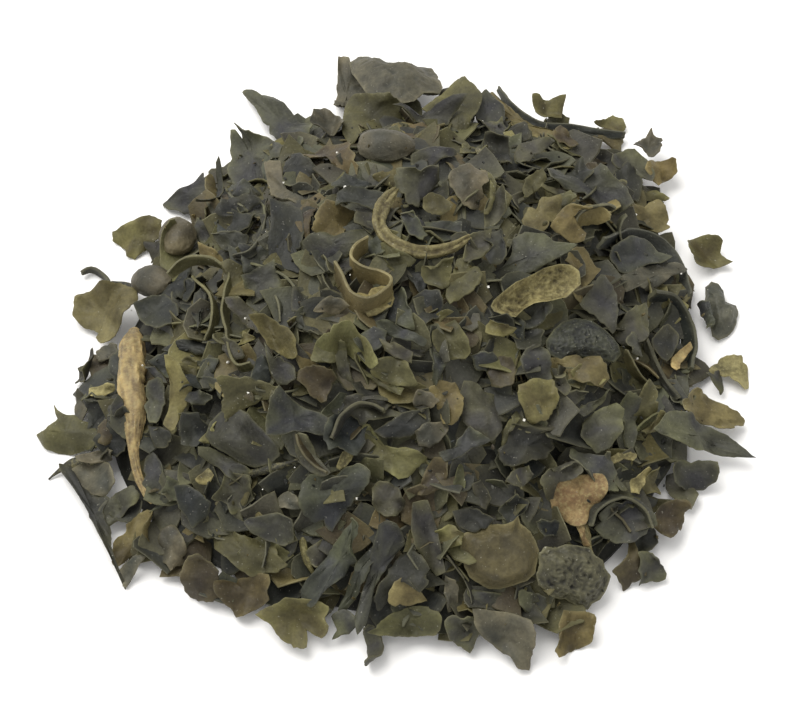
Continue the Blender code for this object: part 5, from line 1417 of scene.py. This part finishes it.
def frond_material(name, roughness, mottle=0.24, grain=0.15, dust=0.35, crust=0.0, bump=0.13):
    """Dried brown-algae frond. It is a leathery sheet that dried uneven, so it is matte with a faint
    sheen, clouded over a few millimetres, dusted with salt, and paler where it is torn."""
    material = bpy.data.materials.new(name)
    material.use_nodes = True
    tree = material.node_tree
    shader = tree.nodes["Principled BSDF"]
    spot = node(tree, "ShaderNodeTexCoord").outputs["Object"]
    clouds, fine = noised(tree, spot, CLOUD_SIZE, 3.0), noised(tree, spot, GRAIN_SIZE, 4.0)
    tone, tip = attribute(tree, "tone", "Color"), attribute(tree, "tip", "Color")
    colour = blended(tree, attribute(tree, "grade"), tone, tip)
    # Paler at the edges: partly the frond's own torn edge, partly painted highlight along the thin edge.
    rim = blended(tree, 0.5, colour, (*linear(RIM_AND_HIGHLIGHT_COLOUR), 1.0))
    colour = blended(tree, attribute(tree, "edge"), colour, rim)
    lightness = ranged(tree, clouds, 0.3, 0.7, 1.0 - mottle, 1.0 + mottle)
    grained = ranged(tree, fine, 0.3, 0.7, 1.0 - grain, 1.0 + grain)
    both = node(tree, "ShaderNodeMath", {0: lightness, 1: grained}, operation="MULTIPLY").outputs[0]
    colour = node(tree, "ShaderNodeHueSaturation", {"Value": both, "Color": colour}).outputs["Color"]
    if crust:
        flecks = noised(tree, spot, FLECK_SIZE, 5.0, 0.7)
        for full, code in zip((0.66, 0.32), CRUST_COLOURS):
            amount = ranged(tree, flecks, 0.47, full, 0.0, crust)
            colour = blended(tree, amount, colour, (*linear(code), 1.0))
    amount = ranged(tree, noised(tree, spot, DUST_SIZE, 1.0), 0.72, 0.80, 0.0, dust)
    colour = blended(tree, amount, colour, (*linear(DUST_COLOUR), 1.0))
    height = node(tree, "ShaderNodeMath", {0: clouds, 1: fine}, operation="ADD").outputs[0]
    bumps = node(tree, "ShaderNodeBump", {"Strength": 0.5, "Distance": bump * MM * 2.0, "Height": height})
    dryness = ranged(tree, clouds, 0.3, 0.7, roughness - 0.06, roughness + 0.06)
    for output, name in ((colour, "Base Color"), (bumps.outputs["Normal"], "Normal"), (dryness, "Roughness")):
        tree.links.new(output, shader.inputs[name])
    shader.inputs["IOR"].default_value = FROND_IOR
    shader.inputs["Specular IOR Level"].default_value = FROND_SPECULAR
    return material


@functools.cache
def frond_finish():
    return frond_material("dried brown-algae frond", roughness=0.56)


# --- Operators ---


def thickness_mm():
    return bpy.context.scene.seaweed_sizes.frond_thickness / MM


def build_fronds(name, tones, material, slot):
    skin = Skin()
    for settled in settled_kind("sheet"):
        if settled[0].tone in tones:
            add_sheet(skin, *settled, thickness_mm())
    for number, piece, axes, place, rim, body in traced_flakes():
        if piece.tone in tones and not body:
            add_sheet(skin, piece, number, axes, place, thickness_mm(), corners=rim)
    return skin.piece(name, material, slot)


def settled_skin(kind, add, *rest):
    """A skin with the settled pieces of one kind, each added by this function."""
    skin = Skin()
    for settled in settled_kind(kind):
        add(skin, *settled, *rest)
    return skin


def build_bodies(name, kinds, material, slot):
    skin = Skin()
    for number, piece, axes, place, rim, body in traced_flakes():
        if body and any(body is BODIES[kind] for kind in kinds):
            add_body(skin, body, number, axes, place, rim, piece.tone)
    return skin.piece(name, material, slot)


class SEAWEED_OT_core_mound(bpy.types.Operator):
    """Builds the dark broken seaweed in the middle of the heap, seen only in the gaps"""

    bl_idname = "seaweed.core_mound"
    bl_label = "Core of the Heap"

    def execute(self, context):
        drop = context.scene.seaweed_sizes.core_drop / MM
        rings, sectors = CORE_RINGS, CORE_SECTORS
        turn = ring_angles(sectors)
        points = [np.array([[0.0, 0.0, bed(0.0, 0.0) - drop]])]
        for ring in range(1, rings + 1):
            share = ring / rings * CORE_REACH
            x = np.cos(turn) * foot_radius(turn) * share
            y = np.sin(turn) * foot_radius(turn) * share
            crumple = 0.7 * np.sin(x * 1.3 + 2.0 * np.sin(y * 0.9)) * np.sin(y * 1.1 + 2.0 * np.sin(x * 0.7))
            points.append(np.column_stack((x, y, np.maximum(bed(x, y) - drop + crumple, 0.25))))
        foot = points[-1].copy()
        foot[:, 2] = 0.0
        points += [foot, np.zeros((1, 3))]
        faces = [(0, 1 + i, 1 + (i + 1) % sectors) for i in range(sectors)]
        for ring in range(rings):
            for i in range(sectors):
                a, b = 1 + ring * sectors + i, 1 + ring * sectors + (i + 1) % sectors
                faces.append((a, a + sectors, b + sectors, b))
        start = 1 + rings * sectors
        faces += [(start + sectors, start + (i + 1) % sectors, start + i) for i in range(sectors)]
        skin = Skin()
        skin.add(np.vstack(points), faces, np.array(linear(CORE_SHADE_COLOUR)), 0.0)
        skin.piece("core_mound", frond_finish(), "frond")
        return {"FINISHED"}


class SEAWEED_OT_fronds(bpy.types.Operator):
    """Builds the larger flakes of frond, one piece for each family of colours"""

    bl_idname = "seaweed.fronds"
    bl_label = "Fronds"

    def execute(self, context):
        build_fronds("fronds_slate", "sdgp", frond_finish(), "frond")
        build_fronds("fronds_olive", "oy", frond_finish(), "frond_olive")
        build_fronds("fronds_brown", "bk", frond_finish(), "frond_brown")
        # Salt and dead growth dried on it as a crust, so it is duller and broken up by pale scales.
        crusted = frond_material("salt-crusted frond", roughness=0.68, mottle=0.2, crust=0.45, bump=0.16)
        build_fronds("fronds_crusted", "crt", crusted, "frond_brown")
        build_bodies("hollow_fronds", "QFD", frond_finish(), "frond_olive")
        build_bodies("split_pod", "A", crusted, "frond_brown")
        return {"FINISHED"}


class SEAWEED_OT_ribbons(bpy.types.Operator):
    """Builds the curled ribbons of frond that stand on edge"""

    bl_idname = "seaweed.ribbons"
    bl_label = "Curled Ribbons"

    def execute(self, context):
        skin = settled_skin("strip", add_strip, thickness_mm())
        for number, text in enumerate(SCROLLS):
            add_scroll(skin, text, number, settled_pieces()[1], thickness_mm())
        skin.piece("ribbons", frond_finish(), "frond_olive")
        return {"FINISHED"}


class SEAWEED_OT_midribs(bpy.types.Operator):
    """Builds the midribs and stalks"""

    bl_idname = "seaweed.midribs"
    bl_label = "Midribs"

    def execute(self, context):
        skin = settled_skin("rib", add_rib)
        for number, text in enumerate(STALKS):
            add_stalk(skin, text, number, settled_pieces()[1])
        # The tough rib is smoother than the blade, so a little glossier, and its skin comes off in scales.
        skin.piece("midribs", frond_material(
            "dried midrib", roughness=0.5, mottle=0.22, grain=0.1, crust=0.35, bump=0.14), "midrib")
        return {"FINISHED"}


class SEAWEED_OT_bladders(bpy.types.Operator):
    """Builds the round air bladders"""

    bl_idname = "seaweed.bladders"
    bl_label = "Air Bladders"

    def execute(self, context):
        skin = settled_skin("pod", add_pod)
        # Skin drawn tight over air is the most even of all, with a soft gloss.
        skin.piece("bladders", frond_material("bladder skin", roughness=0.5, mottle=0.1), "bladder")
        return {"FINISHED"}


class SEAWEED_OT_receptacles(bpy.types.Operator):
    """Builds the warty receptacles"""

    bl_idname = "seaweed.receptacles"
    bl_label = "Receptacles"

    def execute(self, context):
        # The swollen tips hold the most salt in their warts, over the same leathery skin.
        build_bodies("receptacles", "WS", frond_material(
            "receptacle skin", roughness=0.5, mottle=0.22, grain=0.16, dust=0.6, bump=0.14), "receptacle")
        return {"FINISHED"}


def flake_form(name, draw):
    """A small torn flake one millimetre long, in a few dozen faces, to be repeated under the larger ones."""
    wide, corners = draw.uniform(0.55, 0.9), draw.choice((3, 4, 4, 5))
    piece = Piece("sheet", 0, 0, 1.0, wide, 0, corners, 0, 0, 0, 0, 0, "")
    rim = outline(piece, draw, 4 if piece.corners == 3 else 3, (-0.17, 0.08))
    count = len(rim)
    hub = rim.mean(axis=0)
    flat = np.vstack((hub + (rim - hub) * FORM_RING, rim, hub))
    middle, normals = bend(flat[:, 0], flat[:, 1], math.radians(draw.uniform(-80, 130)), draw.uniform(0, 3.1))
    share = np.append(np.repeat((FORM_RING, 1.0), count), 0.0)
    around = np.append(np.tile(ring_angles(count), 2), 0.0)
    rise = draw.uniform(0.03, 0.10) * share ** 2 * np.sin(draw.choice((2, 3)) * around + draw.uniform(0, 6.3))
    middle = middle + normals * rise[:, None]
    half = normals * FORM_THICKNESS / 2.0
    outer = slice(count, 2 * count)
    out = unit_rows(middle[outer] - middle[:count])
    points = np.vstack((middle + half, middle - half, middle[outer] + out * FORM_RIM))
    mesh = new_mesh(name, points, sheet_faces(count, 2))
    # Pale rim: partly the torn edge's own colour, partly painted highlight along the thin edge.
    edges = np.where(share >= 1.0, 0.2, 0.0)
    set_points(mesh, "edge", "FLOAT", np.concatenate((edges, edges, np.full(count, 0.75))))
    grade = smooth(-0.3, 0.5, flat[:, 0])
    set_points(mesh, "grade", "FLOAT", np.concatenate((grade, grade, grade[outer])))
    mesh.shade_smooth()
    return bpy.data.objects.new(name, mesh)


def crumb_form(name, draw):
    """A crumb of frond, one millimetre across: an uneven lump of few faces."""
    way, _, _ = egg_grid(3, 5, 0.5)
    points = way * 0.5 * np.array([[draw.uniform(0.6, 1.15)] for _ in way]) * (1.0, 0.8, 0.5)
    return bpy.data.objects.new(name, new_mesh(name, points, loop_faces(3, 5)))


def grain_form(name, draw):
    """A grain of sea salt, one millimetre across: a worn cube."""
    corners = [(x, y, z) for x in (-0.5, 0.5) for y in (-0.5, 0.5) for z in (-0.5, 0.5)]
    points = np.array(corners) * np.array([[draw.uniform(0.7, 1.0)] for _ in corners])
    faces = [(0, 1, 3, 2), (4, 6, 7, 5), (0, 4, 5, 1), (2, 3, 7, 6), (0, 2, 6, 4), (1, 5, 7, 3)]
    return bpy.data.objects.new(name, new_mesh(name, points, faces))


def scatter_tree():
    """Geometry Nodes that put one of several forms at each point, turned and stretched as it says."""
    tree = bpy.data.node_groups.new("Scatter seaweed", "GeometryNodeTree")
    sockets = (
        ("Geometry", "NodeSocketGeometry"), ("Forms", "NodeSocketCollection"), ("Size", "NodeSocketFloat"),
        ("Form Count", "NodeSocketInt"), ("Seed", "NodeSocketInt"), ("Material", "NodeSocketMaterial"),
    )
    for name, kind in sockets:
        tree.interface.new_socket(name, in_out="INPUT", socket_type=kind)
    tree.interface.new_socket("Geometry", in_out="OUTPUT", socket_type="NodeSocketGeometry")
    given = node(tree, "NodeGroupInput").outputs
    forms = node(tree, "GeometryNodeCollectionInfo", {
        "Collection": given["Forms"], "Separate Children": True, "Reset Children": True,
    }).outputs["Instances"]
    turn, stretch = (
        node(tree, "GeometryNodeInputNamedAttribute", {"Name": name}, data_type="FLOAT_VECTOR").outputs[0]
        for name in ("turn", "stretch"))
    last = node(tree, "ShaderNodeMath", {0: given["Form Count"], 1: 1.0}, operation="SUBTRACT").outputs[0]
    pick = node(tree, "FunctionNodeRandomValue", {4: 0, 5: last, "Seed": given["Seed"]}, data_type="INT")
    scale = node(tree, "ShaderNodeVectorMath", {0: stretch, "Scale": given["Size"]}, operation="SCALE")
    rotation = node(tree, "FunctionNodeEulerToRotation", {"Euler": turn}).outputs["Rotation"]
    placed = node(tree, "GeometryNodeInstanceOnPoints", {
        "Points": given["Geometry"], "Instance": forms, "Pick Instance": True,
        "Instance Index": pick.outputs[2], "Rotation": rotation, "Scale": scale.outputs[0],
    }).outputs["Instances"]
    real = node(tree, "GeometryNodeRealizeInstances", {"Geometry": placed}).outputs["Geometry"]
    dressed = node(tree, "GeometryNodeSetMaterial", {"Geometry": real, "Material": given["Material"]})
    node(tree, "NodeGroupOutput", {"Geometry": dressed.outputs["Geometry"]})
    return tree


def scattered(name, spots, forms, size, seed, material):
    """Runs the scatter tree on the spots (place, turn, stretch, tone, tip) and keeps its plain mesh."""
    places, turns, stretches, tones, tips = (np.array(column) for column in zip(*spots))
    cloud = new_mesh(name + "_spots", places)
    for label, kind, values in (
            ("turn", "FLOAT_VECTOR", turns), ("stretch", "FLOAT_VECTOR", stretches),
            ("tone", "FLOAT_COLOR", tones), ("tip", "FLOAT_COLOR", tips)):
        set_points(cloud, label, kind, values)
    holder = bpy.data.objects.new(name + "_spots", cloud)
    bpy.context.scene.collection.objects.link(holder)
    shelf = bpy.data.collections.new(name + "_forms")
    for form in forms:
        shelf.objects.link(form)
    tree = bpy.data.node_groups.get("Scatter seaweed") or scatter_tree()
    modifier = holder.modifiers.new("Scatter", "NODES")
    modifier.node_group = tree
    values = {"Forms": shelf, "Size": size, "Form Count": len(forms), "Seed": seed, "Material": material}
    for item in tree.interface.items_tree:
        if item.in_out == "INPUT" and item.name in values:
            modifier[item.identifier] = values[item.name]
    graph = bpy.context.evaluated_depsgraph_get()
    mesh = bpy.data.meshes.new_from_object(holder.evaluated_get(graph))
    mesh.name = name
    for spent in [holder, *forms]:
        bpy.data.objects.remove(spent)
    bpy.data.collections.remove(shelf)
    return finished(name, mesh)


def euler_of(axes):
    """Euler angles of the turn whose rows are these axes."""
    return np.array(Matrix(axes.T.tolist()).to_euler())


class SEAWEED_OT_under_fronds(bpy.types.Operator):
    """Fills the heap under the larger flakes with small ones"""

    bl_idname = "seaweed.under_fronds"
    bl_label = "Fronds Underneath"

    def execute(self, context):
        draw = random.Random(UNDER_SEED)
        pile = Pile(lowered=context.scene.seaweed_sizes.core_drop / MM)
        grid = np.linspace(-0.5, 0.5, 7)
        gx, gy = (g.ravel() for g in np.meshgrid(grid, grid))
        spots = []
        for _ in range(UNDER_COUNT):
            x, y = spot_on_heap(draw, 1.0)
            long = draw.uniform(*UNDER_LENGTH)
            normal = unit(pile.normal(x, y, 4.0) + np.array([draw.gauss(0.0, UNDER_TILT) for _ in range(3)]))
            spin = draw.uniform(0.0, 2.0 * math.pi)
            cross = unit(np.cross(normal, (math.cos(spin), math.sin(spin), 0.0)))
            axes = np.array((np.cross(cross, normal), cross, normal))
            plate = np.column_stack((gx * long * 0.8, gy * long * 0.55, np.zeros(len(gx))))
            points = plate @ axes + (x, y, 0.0)
            height = pile.rest_height(points, *UNDER_SINK)
            height = max(height, 0.2 * long - points[:, 2].min())
            over = height + points[:, 2].max() - bed(x, y)
            tones = varied_tone(draw.choices(LOOSE_KINDS, UNDER_TONES)[0], draw)
            if over > UNDER_OVER + (UNDER_OVER_RIM if bed(x, y) < 1.0 else 0.0):
                continue
            points[:, 2] += height
            pile.add(points)
            spots.append(((x, y, height), euler_of(axes), (long, long, long), *tones))
        forms = [flake_form(f"flake_form_{i:02d}", draw) for i in range(UNDER_FORMS)]
        scattered("under_fronds", spots, forms, 1.0, UNDER_SEED, frond_finish())
        return {"FINISHED"}


def over_piece(across, up, piece, margin):
    """How far this place is from a larger piece's middle, as a share of its length and width and a margin."""
    aim = math.radians(piece.aim)
    dx, dy = across - piece.across, up - piece.up
    return math.hypot(
        (dx * math.cos(aim) + dy * math.sin(aim)) / (piece.long + margin),
        (dy * math.cos(aim) - dx * math.sin(aim)) / (piece.wide + margin))


class SEAWEED_OT_small_fronds(bpy.types.Operator):
    """Drops small flakes into the hollows between the larger ones"""

    bl_idname = "seaweed.small_fronds"
    bl_label = "Small Fronds"

    def execute(self, context):
        draw = random.Random(SMALL_SEED)
        pile = settled_pieces()[1]
        covers = PIECES + [
            piece._replace(long=np.ptp(rim[:, 0]), wide=np.ptp(rim[:, 1]))
            for _, piece, _, _, rim, _ in traced_flakes()]
        skin = Skin()
        for seed in range(SMALL_FIRST, SMALL_FIRST + SMALL_COUNT):
            tried = [spot_on_heap(draw, 1.02) for _ in range(5)]
            x, y = min(tried, key=lambda spot: pile.height(*spot) - bed(*spot))
            long = draw.uniform(*SMALL_LENGTH)
            ribbon = draw.random() < SMALL_RIBBONS
            piece = Piece(
                "strip" if ribbon else "sheet", 0, 0, long * (1.5 if ribbon else 1.0),
                long * (0.35 if ribbon else draw.uniform(0.5, 0.9)), draw.uniform(0, 360),
                draw.choice((3, 4, 4, 5)), draw.uniform(-0.08, 0.03), draw.uniform(-80, 150),
                draw.choice((0, 90)), draw.uniform(-14, 30),
                draw.uniform(40, 85) if ribbon else draw.uniform(-40, 40),
                draw.choices(LOOSE_KINDS, SMALL_TONES)[0],
            )
            across, up = seen_from_front(np.array((x, y, pile.height(x, y))))
            if any(over_piece(across, up, big, long * 0.7) < SMALL_CLEAR for big in covers) or any(
                    inside(shape, across, up) for shape in cleared_shapes()):
                continue
            points, faces = SOLIDS[piece.kind](piece, random.Random(seed))
            axes = axes_of(piece, pile.normal(x, y, 4.0))
            place = np.array((x, y, 0.0))
            place[2] = pile.rest_height(points @ axes + place, *SMALL_SINK)
            pile.add(filled_points(points @ axes + place, faces))
            thickness = thickness_mm() * SMALL_THICKNESS
            if ribbon:
                add_strip(skin, piece, seed, axes, place, thickness, rings=14)
            else:
                add_sheet(
                    skin, piece, seed, axes, place, thickness, SMALL_PITCH, SMALL_SHARES, SMALL_ARC_SPREAD
                )
        skin.piece("small_fronds", frond_finish(), "frond")
        return {"FINISHED"}


class SEAWEED_OT_crumbs(bpy.types.Operator):
    """Scatters crumbs of frond and grains of sea salt over the heap"""

    bl_idname = "seaweed.crumbs"
    bl_label = "Crumbs and Salt"

    def execute(self, context):
        sizes = context.scene.seaweed_sizes
        draw = random.Random(CRUMB_SEED)
        pile = settled_pieces()[1]

        def spots(count, tones, least, most):
            for _ in range(count):
                x, y = spot_on_heap(draw, 0.98)
                size = draw.uniform(least, most)
                turn = [draw.uniform(0.0, 6.3) for _ in range(3)]
                colours = varied_tone(draw.choice(tones), draw) if tones else [linear(SALT_COLOUR)] * 2
                yield (x, y, float(pile.height(x, y))), turn, (size, size, size), *colours

        forms = [crumb_form(f"crumb_form_{i}", draw) for i in range(CRUMB_FORMS)]
        crumbs = list(spots(CRUMB_COUNT, CRUMB_TONES, *CRUMB_SPREAD))
        scattered("crumbs", crumbs, forms, sizes.crumb_size / MM, CRUMB_SEED, frond_finish())
        # Sea salt is a hard crystal, white on its worn faces, with a sharper glint than the frond.
        salt, shader = plain_material("sea salt", linear(SALT_COLOUR), 0.35)
        shader.inputs["IOR"].default_value = SALT_IOR
        forms = [grain_form(f"grain_form_{i}", draw) for i in range(GRAIN_FORMS)]
        grains = list(spots(GRAIN_COUNT, "", *GRAIN_SPREAD))
        grains.append((pile.seen_at(*LARGE_GRAIN), (0.4, 0.3, 0.8), LARGE_GRAIN_SIZE, *grains[0][3:]))
        scattered("salt_grains", grains, forms, sizes.grain_size / MM, CRUMB_SEED, salt)
        return {"FINISHED"}


class SEAWEED_OT_stage(bpy.types.Operator):
    """Builds the pale floor, the soft light and the camera"""

    bl_idname = "seaweed.stage"
    bl_label = "Stage"

    def execute(self, context):
        scene = context.scene
        stage = scene.seaweed_stage
        bpy.ops.mesh.primitive_circle_add(vertices=96, radius=FLOOR_RADIUS, fill_type="NGON")
        floor = context.object
        floor.name = "floor"
        # Uncoated white paper is matte, so it shows only the heap's soft shadow.
        floor.data.materials.append(plain_material("white paper", stage.floor_colour, 0.9)[0])
        floor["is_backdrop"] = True

        world = bpy.data.worlds.new("white room")
        world.use_nodes = True
        back = world.node_tree.nodes["Background"]
        back.inputs["Color"].default_value = (1.0, 1.0, 1.0, 1.0)
        back.inputs["Strength"].default_value = stage.room_light
        scene.world = world

        lamp = bpy.data.lights.new("soft box", "AREA")
        lamp.shape = "DISK"
        lamp.size = LAMP_SIZE
        lamp.energy = stage.lamp_power
        lamp.color = LAMP_COLOUR
        soft_box = bpy.data.objects.new("soft box", lamp)
        soft_box.location = LAMP_PLACE
        soft_box.rotation_euler = soft_box.location.to_track_quat("Z", "Y").to_euler()
        scene.collection.objects.link(soft_box)

        lens = bpy.data.cameras.new("camera")
        lens.lens = VIEW_LENS
        lens.clip_start = 0.01
        camera = bpy.data.objects.new("camera", lens)
        turned = np.eye(4)
        turned[:3, 0], turned[:3, 1], turned[:3, 2], turned[:3, 3] = SEEN_RIGHT, SEEN_UP, TO_EYE, EYE * MM
        camera.matrix_world = Matrix(turned.tolist())
        scene.collection.objects.link(camera)
        scene.camera = camera
        scene.view_settings.view_transform = "Standard"
        return {"FINISHED"}


# --- Settings and panel ---


def length_setting(name, description, metres):
    return FloatProperty(name=name, description=description, default=metres, min=0.0001, unit="LENGTH")


def colour_setting(name, description, code):
    return FloatVectorProperty(
        name=name, description=description, subtype="COLOR", size=3, min=0.0, max=1.0, default=linear(code))


class SeaweedSizes(bpy.types.PropertyGroup):
    """Sizes of the frond and of what fills the heap"""

    frond_thickness: length_setting("Frond Thickness", "Thickness of a dried flake", 0.00044)
    core_drop: length_setting("Core Drop", "How far the core lies under the larger flakes", 0.0048)
    crumb_size: length_setting("Crumb Size", "Middling width of a crumb", 0.0009)
    grain_size: length_setting("Grain Size", "Middling width of a grain of salt", 0.0004)


SeaweedColours = type("SeaweedColours", (bpy.types.PropertyGroup,), {
    "__doc__": "Colours of each kind of frond",
    "__annotations__": {
        f"{part}_{tone}": colour_setting(f"{name} {part}", f"Colour at the {part} of this frond", code)
        for tone, (name, *codes) in TONES.items() for part, code in zip(("middle", "tip"), codes)
    },
})


class SeaweedStage(bpy.types.PropertyGroup):
    """Light and floor"""

    room_light: FloatProperty(
        name="Room Light", description="Strength of the light from all round", default=0.85, min=0.0)
    lamp_power: FloatProperty(
        name="Soft Box Power", description="Power of the soft box", default=9.0, min=0.0, subtype="POWER",
        unit="POWER")
    floor_colour: colour_setting("Floor Colour", "Colour of the paper that the heap lies on", FLOOR_COLOUR)


OPERATORS = (
    SEAWEED_OT_core_mound, SEAWEED_OT_under_fronds, SEAWEED_OT_fronds, SEAWEED_OT_ribbons, SEAWEED_OT_midribs,
    SEAWEED_OT_bladders, SEAWEED_OT_receptacles, SEAWEED_OT_small_fronds, SEAWEED_OT_crumbs, SEAWEED_OT_stage,
)


class SEAWEED_PT_heap(bpy.types.Panel):
    """Lists the settings and the steps that build the heap"""

    bl_idname = "SEAWEED_PT_heap"
    bl_label = "Dried Bladderwrack"
    bl_space_type = "VIEW_3D"
    bl_region_type = "UI"
    bl_category = "Seaweed"

    def draw(self, context):
        for group in ("seaweed_sizes", "seaweed_colours", "seaweed_stage"):
            settings = getattr(context.scene, group)
            for name in settings.bl_rna.properties.keys():
                if name not in ("rna_type", "name"):
                    self.layout.prop(settings, name)
        for operator in OPERATORS:
            self.layout.operator(operator.bl_idname)


CLASSES = (SeaweedSizes, SeaweedColours, SeaweedStage, *OPERATORS, SEAWEED_PT_heap)


def register():
    for each in CLASSES:
        bpy.utils.register_class(each)
    bpy.types.Scene.seaweed_sizes = PointerProperty(type=SeaweedSizes)
    bpy.types.Scene.seaweed_colours = PointerProperty(type=SeaweedColours)
    bpy.types.Scene.seaweed_stage = PointerProperty(type=SeaweedStage)


def unregister():
    del bpy.types.Scene.seaweed_sizes, bpy.types.Scene.seaweed_colours, bpy.types.Scene.seaweed_stage
    for each in reversed(CLASSES):
        bpy.utils.unregister_class(each)


def main():
    register()
    for operator in OPERATORS:
        group, name = operator.bl_idname.split(".")
        getattr(getattr(bpy.ops, group), name)()
    boxes = {"cad": CAD_BOX, "visual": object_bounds()}
    {name: [list(corner) for corner in box] for name, box in boxes.items()}


if __name__ == "__main__":
    main()
